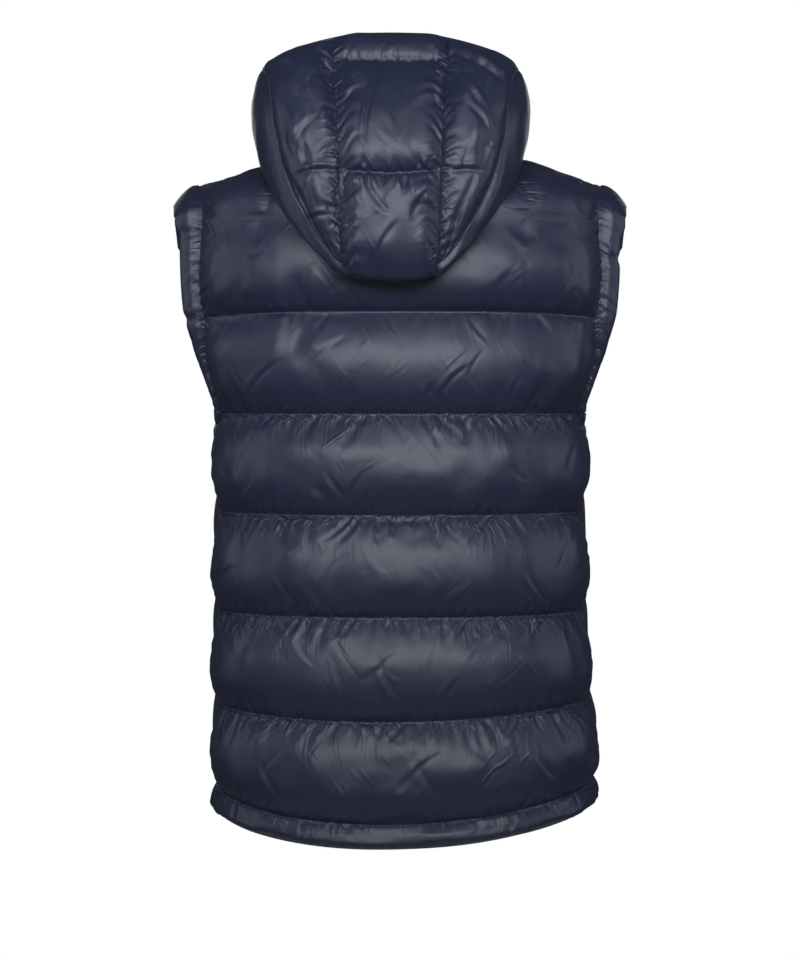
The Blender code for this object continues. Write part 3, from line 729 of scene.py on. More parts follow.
def quilted(spec, nodes, points, normals, puff, held, slack, inside, marks, hug=None):
    # Sheet over the seam surface, blown out, made finer, puckered, lined and dressed.
    rows, cols = puff.shape
    uneven = ripple(rows, cols, (5, 4), spec["seed"]) * spec.get("uneven", 1.0) * (1 - held)
    rough, order = sheet(spec["name"] + "_rough", points + normals * (puff + uneven)[..., None])
    settle(rough, order, held, np.clip(slack, 0, 1), {**clothRule, **spec})
    settled = readPoints(rough.data)[order] / mm
    discard(rough)
    if hug is not None:
        settled = points + (settled - points) * hug[..., None]
    times = spec["times"]
    sewnRows = seamLines(held.min(axis=1) >= 1)
    sewnCols = seamLines(held.min(axis=0) >= 1)
    fine = finer(settled, times, sewnRows).swapaxes(0, 1)
    fine = finer(fine, times, sewnCols).swapaxes(0, 1)
    away = np.full(fine.shape[:2], 9.0)
    for k in sewnRows:
        away = np.minimum(away, np.abs(np.arange(fine.shape[0]) - k * times)[:, None])
    for k in sewnCols:
        away = np.minimum(away, np.abs(np.arange(fine.shape[1]) - k * times)[None, :])
    amount = marks(fine, times) * np.clip(away / 1.5, 0, 1)
    fine = leaned(fine + gridOut(fine) * amount[..., None])
    thing, order = sheet(spec["name"], fine)
    backLining(thing, leaned(inside))
    gatherRows = [k * times for k in sewnRows if k not in spec.get("plainRows", [])]
    gatherCols = [k * times for k in sewnCols if k not in spec.get("plainCols", [])]
    keepLay(thing, order, fine, gatherRows, gatherCols, spec.get("gatherReach", (17.0, 8.0, 9.0)))
    dress(thing, nodes)
    return fine


# Back panel
seamBow = {
    "seam": [1, 5], "middle": [0.0, -3.0], "ends": [-4.0, 7.0], "power": [4.0, 2.0], "tilt": [0.0, 3.0],
}
backPanel = {
    "name": "back_shell", "steps": 19, "columns": 88, "puff": 16.0, "flatSeam": 8.0, "seed": 3, "times": 3,
    "plainRows": [0, 19], "lead": 0.45, "sidePuff": 0.22, "sideReach": 42.0, "calm": 0.35,
}
backCreases = [
    (26.0, -466.0, -8.0, -532.0, 1.3, 2.2), (-2.0, -470.0, 30.0, -500.0, 0.8, 2.0),
    (-4.0, -560.0, -34.0, -612.0, 1.0, 2.2), (-40.0, -566.0, 8.0, -606.0, 0.9, 2.0),
    (70.0, -300.0, 40.0, -338.0, 0.9, 2.2), (-60.0, -205.0, -96.0, -240.0, 0.6, 2.0),
    (110.0, -195.0, 150.0, -238.0, 0.8, 2.2), (-118.0, -392.0, -150.0, -436.0, 1.0, 2.2),
    (120.0, -396.0, 88.0, -438.0, 0.9, 2.0), (-70.0, -200.0, -30.0, -240.0, 0.7, 2.0),
    (140.0, -575.0, 108.0, -620.0, 1.0, 2.2), (-120.0, -560.0, -150.0, -604.0, 1.1, 2.2),
]


def makeBackPanel(spec):
    heights, through = channelRows(backSeams, spec["steps"])
    rows = len(heights)
    cols = spec["columns"] + 1
    side = np.linspace(-1, 1, cols)
    angles = side[None, :] * curve(heights, armholeTable["z"], armholeTable["back"])[:, None]
    levels = np.repeat(heights[:, None], cols, axis=1)
    points, normals = body(angles, levels)
    stretch = np.clip((backSeams[-2] - levels) / (backSeams[-2] - backSeams[-1]), 0, 1)
    levels = levels + hemRise(points[..., 0]) * stretch
    across = points[..., 0] / bodyTable["halfWide"][0]
    for k, seam in enumerate(seamBow["seam"]):
        near = np.interp(-heights, [-z for z in backSeams[seam - 1:seam + 2]], [0.0, 1.0, 0.0])
        middle = seamBow["middle"][k]
        bow = middle + (seamBow["ends"][k] - middle) * np.abs(across) ** seamBow["power"][k]
        levels = levels + near[:, None] * (bow - seamBow["tilt"][k] * across)
    points, normals = body(angles, levels)
    arc = runAcross(points)
    edgeWay = np.minimum(arc, arc[:, -1:] - arc)
    first = (np.arange(rows) < spec["steps"]).astype(float)
    flat = spec["flatSeam"] * first * (1 - through) ** 1.5
    shape = swell(through ** (1 + spec["lead"] * first))
    edge = spec["sidePuff"] + (1 - spec["sidePuff"]) * ease(edgeWay, spec["sideReach"])
    puff = spec["puff"] * shape[:, None] * edge
    puff = puff + flat[:, None] * ease(edgeWay, 60.0)
    held = heldEdges((rows, cols), np.flatnonzero(np.isclose(through, 0.0)))
    near = 1 - swell(through)[:, None] * (0.2 + 0.8 * ease(edgeWay, 45.0))
    sewnRows = [k * spec["steps"] for k in range(1, len(backSeams))]
    lines = backCreases + looseFolds(60, (-175.0, 175.0, -600.0, -90.0), foldRule, 71)

    def marks(fine, times):
        total = seamGathers(fine, [k * times for k in sewnRows], [0, fine.shape[1] - 1], sewing, 20)
        start = sewnRows[0] * times
        calmRows = [start - 1, start, 1.5 * start, 1.8 * start]
        calm = np.interp(np.arange(len(total)), calmRows, [1.0, spec["calm"], spec["calm"], 1.0])
        total *= calm[:, None]
        addCreases(total, fine[..., 0], fine[..., 2], lines)
        return total

    fine = quilted(spec, ["back_panel"], points, normals, puff, held, 0.25 + 0.75 * near,
                   (points - normals * wall)[::3, ::2], marks)
    keepStitches(fine, [k * spec["times"] for k in sewnRows[:-1]])
    keepStitches(fine, [4])


makeBackPanel(backPanel)
print("back made")

# Back yoke
backYoke = {
    "name": "yoke_shell", "steps": 22, "columns": 88, "puff": 6.0, "flatSeam": 8.0, "seed": 5,
    "extra": 0.06, "cap": 8.0, "times": 2, "plainRows": [0, 22],
}


def makeYoke(spec):
    side = np.linspace(-1, 1, spec["columns"] + 1)
    part = np.linspace(0, 1, spec["steps"] + 1)
    foot, level = body(side * armholeTable["back"][-1], backSeams[0])
    top = topEdge(np.abs(side), 0.0)
    top[:, 0] *= np.where(side < 0, -1.0, 1.0)
    points, normals = overShoulder(foot, level, top, 90.0 * part, np.abs(side))
    arc = runAlong(foot)
    edge = ease(np.minimum(arc, arc[-1] - arc), 60.0)[None]
    outer = 0.25 + 0.75 * ease(np.clip(np.abs(side) - 0.5, 0, 1), 0.2)[None]
    rise = np.sin(math.pi * part) ** 0.8
    flat = spec["flatSeam"] * ((1 - part) ** 1.5)[:, None] * edge
    puff = spec["puff"] * rise[:, None] * edge * outer + flat
    held = heldEdges(puff.shape, [0, -1])
    held[:, np.abs(side) < 0.5] = 1.0
    sew = {**sewing, "deep": 0.8}
    lines = looseFolds(16, (-195.0, 195.0, -30.0, -5.0), foldRule, 73)

    def marks(fine, times):
        total = seamGathers(fine, [fine.shape[0] - 1], [0, fine.shape[1] - 1], sew, 50)
        addCreases(total, fine[..., 0], fine[..., 2], lines, 0.7)
        return total * (np.abs(fine[..., 0]) > 90.0)

    quilted(spec, ["back_yoke"], points, normals, puff, held, np.full(puff.shape, 0.6),
            (points - normals * wall)[::2, ::2], marks)


makeYoke(backYoke)
print("yoke made")

# Fronts
frontPanel = {"steps": 18, "columns": 46, "puff": 15.0, "top": 20, "times": 2}


def makeFront(spec, flip, seed):
    heights, through = channelRows(frontSeams, spec["steps"])
    share = np.linspace(0, 1, spec["columns"] + 1)
    halfWide = curve(heights, bodyTable["z"], bodyTable["halfWide"])
    near = 180.0 - np.degrees(np.arcsin((zipHalfGap / halfWide) ** (squareness / 2)))
    edgeAngle = curve(heights, armholeTable["z"], armholeTable["front"])
    angles = near[:, None] + (edgeAngle - near)[:, None] * share
    levels = np.repeat(heights[:, None], len(share), axis=1)
    stretch = np.clip((frontSeams[-2] - levels) / (frontSeams[-2] - frontSeams[-1]), 0, 1)
    levels = levels + stretch * (sideHem - frontSeams[-1]) * share ** 2
    lowPoints, lowNormals = body(angles, levels)
    topTurns = np.linspace(90.0, 0.0, spec["top"] + 1)[:-1]
    neckStart = 180.0 - math.degrees(math.asin(zipHalfGap / neckHalfWide))
    top = topEdge(share, neckStart)
    highPoints, highNormals = overShoulder(lowPoints[0], lowNormals[0], top, topTurns, share)
    points = np.concatenate([highPoints, lowPoints])
    normals = np.concatenate([highNormals, lowNormals])
    topPart = np.linspace(0, 1, spec["top"] + 1)[:-1]
    rise = np.concatenate([0.6 * np.sin(math.pi * topPart) ** 0.8, swell(through)])
    arc = runAcross(points)
    sideWay = arc[:, -1:] - arc
    edge = (0.12 + 0.88 * ease(arc, 40.0)) * (0.25 + 0.75 * ease(sideWay, 60.0))
    puff = spec["puff"] * rise[:, None] * edge
    sewnRows = [0] + [spec["top"] + k * spec["steps"] for k in range(len(frontSeams))]
    held = heldEdges(puff.shape, sewnRows)
    slack = 0.25 + 0.75 * (1 - rise[:, None] * edge)
    hug = 0.1 + 0.9 * ease(np.clip(sideWay - 14.0, 0, None), 90.0)
    lines = looseFolds(40, (15.0, 180.0, -580.0, -40.0), foldRule, seed + 5)
    if flip:
        points = mirrored(points)
        normals = mirrored(normals)
    step = 1 if flip else -1

    def marks(fine, times):
        total = seamGathers(fine, [k * times for k in sewnRows], [0, fine.shape[1] - 1], sewing, seed)
        addCreases(total, np.abs(fine[..., 0]), fine[..., 2], lines)
        return total

    own = {**spec, "name": sided("front_shell", flip), "seed": seed}
    inside = (points - normals * wall)[::3, ::2][:, ::step]
    fine = quilted(own, [sided("front", flip)], points[:, ::step], normals[:, ::step],
                   puff[:, ::step], held[:, ::step], slack[:, ::step], inside, marks, hug[:, ::step])
    keepStitches(fine, [k * spec["times"] for k in sewnRows[1:-1]])


makeFront(frontPanel, False, 60)
makeFront(frontPanel, True, 90)
print("fronts made")

# Hem bands
hemBand = {
    "steps": 10, "columns": 96, "puff": 7.0, "extra": 0.03, "cap": 3.0, "pressure": 1.5, "times": 2,
    "gatherReach": (6.0, 4.0, 6.0),
    "part": [0, 0.15, 0.4, 0.68, 0.86, 1], "full": [0, 0.4, 0.78, 1.0, 0.75, 0],
}
hemSew = {**sewing, "above": 0.9, "deep": 0.7, "reach": 0.45, "apart": 0.9}


def makeHem(spec, name, node, line, angles, seed, turn):
    part = np.linspace(0, 1, spec["steps"] + 1)
    levels = line[None, :, 2] - hemTall * part[:, None]
    points, normals = body(np.repeat(angles[None], len(part), axis=0), levels)
    full = np.interp(part, spec["part"], spec["full"])
    puff = spec["puff"] * full[:, None] * np.ones(len(angles))[None]
    held = heldEdges(puff.shape, [0, -1])
    inside = points - normals * (wall + 2.0 * np.sin(math.pi * part))[:, None, None]
    inside[0] = points[0]
    inside[-1] = points[-1]
    own = {**spec, "name": name, "seed": seed}
    step = -1 if turn else 1

    def marks(fine, times):
        return seamGathers(fine, [0, fine.shape[0] - 1], [], hemSew, seed)

    fine = quilted(own, [node], points[:, ::step], normals[:, ::step], puff, held, np.full(puff.shape, 0.6),
                   inside[:, ::step], marks)
    keepStitches(fine, [1])


def hemLines(spec):
    side = np.linspace(-1, 1, spec["columns"] + 1) * sideAngle
    points, _ = body(side, np.full_like(side, backSeams[-1]))
    back, _ = body(side, backSeams[-1] + hemRise(points[:, 0]))
    share = np.linspace(0, 1, spec["columns"] // 2 + 1)
    near = 180.0 - math.degrees(math.asin((zipHalfGap / hemHalfWide) ** (squareness / 2)))
    angles = near + (sideAngle - near) * share
    front, _ = body(angles, frontSeams[-1] + (sideHem - frontSeams[-1]) * share ** 2)
    return side, back, angles, front


def makeHems(spec):
    side, back, angles, front = hemLines(spec)
    makeHem(spec, "hem_roll_back", "hem_back", back, side, 130, False)
    makeHem(spec, "hem_roll_left", "hem_front_left", front, angles, 140, True)
    makeHem(spec, "hem_roll_right", "hem_front_right", front, -angles, 150, False)


makeHems(hemBand)
print("hems made")

# Armhole bands
armBand = {
    "columns": 340, "seed": 17,
    "wideZ": [-262.0, -235.0, -200.0, -175.0, -150.0, -80.0, -66.0, -45.0, 0.0],
    "wide": [10.0, 12.0, 14.5, 19.0, 23.0, 24.0, 29.0, 29.0, 22.0], "droop": 20.0, "tuck": 2.8,
    "mixZ": [-262.0, -200.0, -100.0, -40.0, 0.0], "mix": [0.15, 0.45, 0.64, 0.62, 0.50],
    "middle": [205.0, 5.0, -130.0], "leftBreaks": [-73.0, -157.0], "rightBreaks": [-98.0], "breakTall": 5.0,
}
armSew = {**sewing, "above": 0.5, "deep": 0.5, "reach": 0.8, "apart": 1.1}


def armholeLine(count):
    # Closed armhole seam with its outward direction, evenly stepped.
    up = np.linspace(-262.0, -57.0, 90)
    back, backOut = body(curve(up, armholeTable["z"], armholeTable["back"]), up)
    turns = np.linspace(0, 90, 30)
    foot, level = body(np.array([armholeTable["back"][-1]]), backSeams[0])
    tip = topEdge(np.array([1.0]), 0.0)
    over, overOut = overShoulder(foot, level, tip, turns, np.array([1.0]))
    frontFoot, frontLevel = body(np.array([armholeTable["front"][-1]]), frontSeams[0])
    down, downOut = overShoulder(frontFoot, frontLevel, tip, turns[::-1], np.array([1.0]))
    low = np.linspace(frontSeams[0], -261.0, 70)
    front, frontOut = body(curve(low, armholeTable["z"], armholeTable["front"]), low)
    line = np.concatenate([back, over[1:, 0], down[1:, 0], front[1:]])
    out = np.concatenate([backOut, overOut[1:, 0], downOut[1:, 0], frontOut[1:]])
    run = runAlong(line)
    even = np.linspace(0, run[-1], count, endpoint=False)
    return placesAt(even, run, line), unit(placesAt(even, run, out))


def makeArmBand(spec, flip):
    line, out = armholeLine(spec["columns"])
    tangent = unit(np.roll(line, -1, axis=0) - np.roll(line, 1, axis=0))
    into = unit(np.cross(tangent, out))
    into *= np.sign(np.sum(into * (np.array(spec["middle"]) - line), axis=1))[:, None]
    mix = curve(line[:, 2], spec["mixZ"], spec["mix"])[:, None]
    lead = unit(into * (1 - mix) + np.array([1.0, 0.0, 0.0]) * mix)
    pinch = np.zeros(len(line))
    for z in spec["rightBreaks" if flip else "leftBreaks"]:
        near = np.exp(-((line[:, 2] - z) / spec["breakTall"]) ** 2)
        pinch = np.maximum(pinch, near * (line[:, 1] > 0))
    wide = curve(line[:, 2], spec["wideZ"], spec["wide"]) * (1 - 0.10 * pinch)
    flatOut = unit(out - lead * np.sum(out * lead, axis=1)[:, None])
    outerAcross = np.concatenate([np.linspace(0, 0.9, 13), [0.96, 1.0]])
    innerAcross = np.array([0.94, 0.8, 0.6, 0.4, 0.2, 0.0, 0.0])
    fat = (3.0 + 0.8 * (1 - np.clip(out[:, 2], 0, 1))) * (1 - 0.5 * pinch)
    places = []
    facings = []
    for k, across in enumerate(np.concatenate([outerAcross, innerAcross])):
        turn = min(1.0, across / 0.42)
        way = unit(into * (1 - turn) + lead * turn)
        facing = unit(out * (1 - turn) + flatOut * turn)
        place = line + into * 0.15 + way * (wide * across)[:, None]
        place[:, 2] -= spec["droop"] * across ** 1.6 * np.clip(out[:, 2], 0, 1)
        if k < len(outerAcross):
            high = fat * math.sin(math.pi * min(across, 0.999)) ** 0.6
        else:
            high = np.full(len(line), -1.0 - 4.5 * math.sin(math.pi * across) ** 0.6)
        places.append(place + facing * high[:, None])
        facings.append(facing)
    places[-1] = places[-1] - into * spec["tuck"]
    places = np.array(places)
    facings = np.array(facings)
    places = np.concatenate([places, places[:, :1]], axis=1)
    facings = np.concatenate([facings, facings[:, :1]], axis=1)
    last = len(outerAcross) - 1
    marks = seamGathers(places[:last + 1], [0, last], [], armSew, spec["seed"] + flip)
    marks *= np.sin(math.pi * np.arange(last + 1) / last)[:, None] ** 0.4
    ends = np.minimum(np.arange(places.shape[1]), np.arange(places.shape[1])[::-1])
    places[:last + 1] += facings[:last + 1] * (marks * np.clip(ends / 6.0, 0, 1)[None])[..., None]
    if flip:
        places = mirrored(places)[:, ::-1]
    places = places[:, ::-1]
    thing, order = sheet(sided("arm_band", flip), places)
    keepLay(thing, order, places, [0], [], (7.0, 7.0, 7.0))
    weld(thing)
    dress(thing, [sided("armhole_band", flip)])


makeArmBand(armBand, False)
makeArmBand(armBand, True)
print("bands made")

# Collar
collarSpec = {
    "name": "collar_shell", "steps": 18, "columns": 112, "puff": 4.0, "tall": 88.0, "frontTall": 110.0,
    "seed": 19, "extra": 0.05, "cap": 4.0, "pressure": 2.0, "times": 2, "endAngle": 4.9, "low": -4.0,
}


def collarLean(part):
    # How far the collar stands inside the neck seam.
    return 0.3 + 8.0 * ease(part, 0.2)


def makeCollar(spec):
    part = np.linspace(0, 1, spec["steps"] + 1)
    end = 180.0 - spec["endAngle"]
    angles = np.linspace(-end, end, spec["columns"] + 1)
    ring = neck(angles)
    out = np.stack([np.sin(np.radians(angles)), np.cos(np.radians(angles)), np.zeros_like(angles)], -1)
    points = ring[None] - out[None] * collarLean(part)[:, None, None]
    tall = spec["tall"] + (spec["frontTall"] - spec["tall"]) * np.clip((np.abs(angles) - 60.0) / 120.0, 0, 1)
    points[..., 2] += spec["low"] + tall[None] * part[:, None]
    normals = np.repeat(out[None], len(part), axis=0)
    fade = ease(end - np.abs(angles), 20.0)
    puff = spec["puff"] * (np.sin(math.pi * np.clip((part - 0.1) / 0.9, 0, 1)) ** 0.7)[:, None] * fade[None]
    held = heldEdges(puff.shape, [0, 1, 2, -1])
    sew = {**sewing, "deep": 0.8, "reach": 0.7}
    inside = points - normals * (wall + 3.0 * np.sin(math.pi * part) ** 0.6)[:, None, None]
    inside[-1] = points[-1]

    def marks(fine, times):
        total = seamGathers(fine, [0, fine.shape[0] - 1 - 2 * times], [0, fine.shape[1] - 1], sew, 170)
        total[fine.shape[0] - 2 * times:] = 0.0
        return total

    quilted(spec, ["collar"], points[::-1], normals[::-1], puff[::-1], held[::-1], np.full(puff.shape, 0.6),
            inside[::-1], marks)


makeCollar(collarSpec)
print("collar made")

# Hood
hoodPlan = {
    "angle": [0.0, 18.0, 30.0, 42.0, 55.0, 68.0, 82.0, 95.0, 110.0, 125.0, 140.0],
    "wide": [0.0, 46.0, 76.0, 103.0, 122.0, 131.0, 134.0, 133.0, 125.0, 110.0, 93.0],
    "deep": [182.0, 179.0, 170.0, 153.0, 123.0, 84.0, 41.0, 5.0, -36.0, -70.0, -95.0],
}
hoodProfileAngle = [0.0, 18.0, 30.0, 42.0, 55.0, 68.0, 82.0, 110.0, 140.0]
hoodReach = [
    [0.22, 0.22, 0.31, 0.45, 0.66, 0.84, 0.92, 0.85, 0.75],
    [0.52, 0.52, 0.60, 0.73, 0.87, 0.96, 1.00, 0.98, 0.95],
    [0.99, 0.99, 1.00, 1.01, 1.02, 1.02, 1.03, 1.02, 1.00],
    [0.99, 0.99, 0.99, 0.99, 0.99, 0.98, 0.97, 0.96, 0.96],
    [0.87, 0.86, 0.86, 0.87, 0.88, 0.86, 0.82, 0.80, 0.80],
    [0.75, 0.74, 0.71, 0.72, 0.67, 0.62, 0.60, 0.60, 0.60],
    [0.58, 0.56, 0.50, 0.45, 0.42, 0.40, 0.40, 0.40, 0.40],
    [0.22, 0.22, 0.22, 0.20, 0.20, 0.20, 0.20, 0.20, 0.20],
    [0.0, 0.0, 0.0, 0.0, 0.0, 0.0, 0.0, 0.0, 0.0],
]
hoodHeight = [
    [113.0, 113.0, 109.0, 103.0, 95.0, 86.0, 78.0, 62.0, 38.0],
    [76.0, 76.0, 77.0, 77.0, 77.0, 72.0, 66.0, 54.0, 32.0],
    [-15.0, -15.0, -2.0, 16.0, 32.0, 42.0, 48.0, 42.0, 20.0],
    [-90.0, -82.0, -60.0, -29.0, 0.0, 19.0, 30.0, 26.0, 4.0],
    [-125.5, -121.0, -92.0, -60.0, -27.0, 0.0, 12.0, 12.0, -16.0],
    [-94.0, -87.0, -58.0, -34.0, -4.0, 7.0, 13.0, 12.0, -17.0],
    [-25.0, -22.0, -12.0, -4.0, 5.0, 11.0, 14.0, 12.0, -15.0],
    [8.0, 8.0, 9.0, 9.5, 10.0, 11.0, 12.0, 7.0, -18.0],
    [6.8, 6.8, 6.8, 6.8, 6.6, 6.2, 5.1, -2.6, -25.8],
]
hoodLean = {"sway": 9.0, "narrow": 0.975}
goreAngle = [70.0, 62.5, 57.0, 51.0, 47.5, 45.5, 44.5, 42.0, 37.0, 33.0, 29.0, 23.0]
gorePart = [0.0, 0.09, 0.14, 0.22, 0.29, 0.35, 0.38, 0.447, 0.507, 0.533, 0.55, 0.557]
hoodSeams = [0.0, 0.09, 0.372, 0.6013]
hoodCentreEdge = 18.0
centreEdgeTable = {"part": [0.0, 0.09, 0.2, 0.35, 0.557], "angle": [29.0, 27.0, 22.5, 19.3, 18.0]}
hoodFrontEdge = 140.0


def hoodTable():
    # Dense table of the hood surface, one degree by one three-hundredth of its length.
    turns = np.arange(0.0, hoodFrontEdge + 1.5)
    parts = np.linspace(0, 1, 301)
    table = np.zeros((len(turns), len(parts), 3))
    for k, turn in enumerate(turns):
        reach = np.array([curve(turn, hoodProfileAngle, values) for values in hoodReach])
        height = np.array([curve(turn, hoodProfileAngle, values) for values in hoodHeight])
        start = neck(turn)[:2]
        far = np.array([curve(turn, hoodPlan["angle"], hoodPlan[way]) for way in ("wide", "deep")])
        run = np.hypot(np.diff(reach) * np.linalg.norm(far - start), np.diff(height))
        run = np.concatenate([[0.0], np.cumsum(run)])
        out = curve(parts * run[-1], run, reach)
        table[k, :, :2] = start + (far - start) * out[:, None]
        table[k, :, 2] = curve(parts * run[-1], run, height)
    return table


hoodDense = hoodTable()


def hood(angle, part):
    angle, part = np.broadcast_arrays(np.asarray(angle, float), np.asarray(part, float))
    a = np.clip(np.abs(angle), 0, hoodDense.shape[0] - 1.001)
    p = np.clip(part, 0, 1) * (hoodDense.shape[1] - 1.001)
    a0 = a.astype(int)
    p0 = p.astype(int)
    fa = (a - a0)[..., None]
    fp = (p - p0)[..., None]
    near = hoodDense[a0, p0] * (1 - fp) + hoodDense[a0, p0 + 1] * fp
    far = hoodDense[a0 + 1, p0] * (1 - fp) + hoodDense[a0 + 1, p0 + 1] * fp
    place = near * (1 - fa) + far * fa
    place[..., 0] *= np.where(angle < 0, -1.0, 1.0)
    hang = ease(np.clip(0.97 - part, 0, 1), 0.4)
    place[..., 0] = place[..., 0] * (1 - (1 - hoodLean["narrow"]) * hang) + hoodLean["sway"] * hang
    return place


def hoodOut(angle, part):
    here = np.clip(part, 0.006, 0.994)
    across = hood(angle + 1.5, here) - hood(angle - 1.5, here)
    down = hood(angle, here + 0.006) - hood(angle, here - 0.006)
    return unit(np.cross(across, down))


hoodSew = {**sewing, "above": 0.7, "deep": 1.1, "reach": 0.75, "apart": 0.8}
sideSew = {**hoodSew, "deep": 0.8, "reach": 0.62}
hoodCentre = {
    "name": "hood_centre_shell", "columns": 22, "rows": [6, 26, 22, 18], "puff": [8.0, 8.0, 11.0, 2.0],
    "round": [2.6, 5.0, 3.0, 2.0], "lead": [1.1, 1.1, 0.82, 1.1], "seed": 23,
    "extra": 0.09, "cap": 9.0, "times": 3,
}
centreCreases = [
    (12.0, 80.0, 33.0, -6.0, 1.5, 1.5), (-32.0, 40.0, -6.0, 2.0, 0.9, 2.2),
    (30.0, -34.0, 8.0, -66.0, 1.3, 2.6), (-30.0, -40.0, -10.0, -70.0, 1.0, 2.4),
    (0.0, -70.0, 24.0, -112.0, 1.0, 2.4),
]


def hoodInside(points, normals):
    # Lining a wall's thickness in, closed to the shell at the rim.
    inside = points - normals * wall
    inside[0] = points[0]
    return inside


def makeHoodCentre(spec):
    seams = hoodSeams + [1.0]
    part = []
    rise = []
    sewn = []
    for k, count in enumerate(spec["rows"]):
        sewn.append(len(part))
        for j in range(count):
            part.append(seams[k] + (seams[k + 1] - seams[k]) * j / count)
            through = 2 * (j / count) ** spec["lead"][k] - 1
            rise.append(spec["puff"][k] * (1 - abs(through) ** spec["round"][k]))
    sewn.append(len(part))
    part = np.array(part + [1.0])[:, None]
    rise = np.array(rise + [0.0])[:, None]
    edge = curve(part, centreEdgeTable["part"], centreEdgeTable["angle"])
    angle = edge * np.linspace(-1, 1, spec["columns"] + 1)[None]
    points = hood(angle, part)
    normals = hoodOut(*np.broadcast_arrays(angle, part))
    puff = rise * (0.1 + 0.9 * ease(edge - np.abs(angle), 8.0))
    held = heldEdges(puff.shape, sewn)
    held[sewn[3]:] = 1.0

    def marks(fine, times):
        total = seamGathers(fine, [k * times for k in sewn[1:3]], [0, fine.shape[1] - 1], hoodSew, 200)
        total[:sewn[1] * times] *= 0.45
        addCreases(total, fine[..., 0], fine[..., 2], centreCreases)
        total[sewn[3] * times:] = 0.0
        return total

    own = {**spec, "plainRows": sewn[:1] + sewn[3:]}
    quilted(own, ["hood_centre"], points, normals, puff, held, np.full(puff.shape, 0.8),
            hoodInside(points, normals)[::2, ::2], marks)


hoodSide = {"columns": 30, "rows": 52, "puff": 11.0, "seed": 29, "extra": 0.09, "cap": 9.0, "times": 3}
leftCreases = [
    (50.0, -26.0, 98.0, -29.0, 1.7, 2.2), (56.0, -66.0, 88.0, -70.0, 1.3, 2.0),
    (60.0, 84.0, 84.0, 58.0, 1.2, 2.5), (72.0, 30.0, 100.0, -4.0, 1.0, 3.0),
    (62.0, -92.0, 80.0, -104.0, 1.2, 2.2),
]
rightCreases = [
    (44.0, 92.0, 98.0, 60.0, 2.2, 3.2), (46.0, -26.0, 78.0, -26.0, 1.7, 2.2),
    (60.0, 40.0, 84.0, 8.0, 1.2, 2.5), (66.0, -50.0, 90.0, -80.0, 1.0, 2.5),
    (52.0, 66.0, 74.0, 34.0, 1.1, 2.4),
]


def makeHoodSide(spec, flip):
    sign = -1.0 if flip else 1.0
    part = np.concatenate([np.linspace(0, 0.05, 7)[:-1], np.linspace(0.05, gorePart[-1], spec["rows"] - 5)])
    edgeAngle = np.interp(part, gorePart, goreAngle)
    innerAngle = curve(part, centreEdgeTable["part"], centreEdgeTable["angle"])
    share = np.linspace(0, 1, spec["columns"] + 1)
    angle = innerAngle[:, None] + (edgeAngle - innerAngle)[:, None] * share[None]
    part = np.repeat(part[:, None], len(share), axis=1)
    points = hood(sign * angle, part)
    normals = hoodOut(sign * angle, part)
    room = (edgeAngle - innerAngle)[:, None]
    edgeWay = np.minimum(share[None] * room, (1 - share[None]) * room)
    rise = ease(part, 0.13)
    puff = spec["puff"] * rise * (0.1 + 0.9 * ease(edgeWay, 12.0)) * ease(0.56 - part, 0.12)
    corner = np.exp(-((1 - share[None]) * room / 16.0) ** 2) * np.exp(-(part / 0.10) ** 2)
    hug = 1 - 0.9 * corner
    held = heldEdges(puff.shape, [0, -1])
    centreCol = puff.shape[1] - 1 if flip else 0

    def marks(fine, times):
        total = seamGathers(fine, [], [centreCol * times], sideSew, 230 + (10 if flip else 0))
        addCreases(total, sign * fine[..., 0], fine[..., 2], rightCreases if flip else leftCreases)
        return total

    own = {**spec, "name": sided("hood_side_shell", flip),
           "plainRows": [0, len(puff) - 1], "plainCols": [puff.shape[1] - 1 - centreCol]}
    step = -1 if flip else 1
    inside = hoodInside(points, normals)[:, ::step]
    fine = quilted(own, [sided("hood_side", flip)], points[:, ::step], normals[:, ::step], puff[:, ::step],
                   held[:, ::step], np.full(puff.shape, 0.8), inside[::2, ::2], marks, hug[:, ::step])
    keepStitches(fine, cols=[3 if flip else fine.shape[1] - 4])


hoodUnder = {"columns": 84, "rows": (14, 14), "puff": 5.0, "seed": 31, "extra": 0.05, "cap": 4.0, "times": 2}


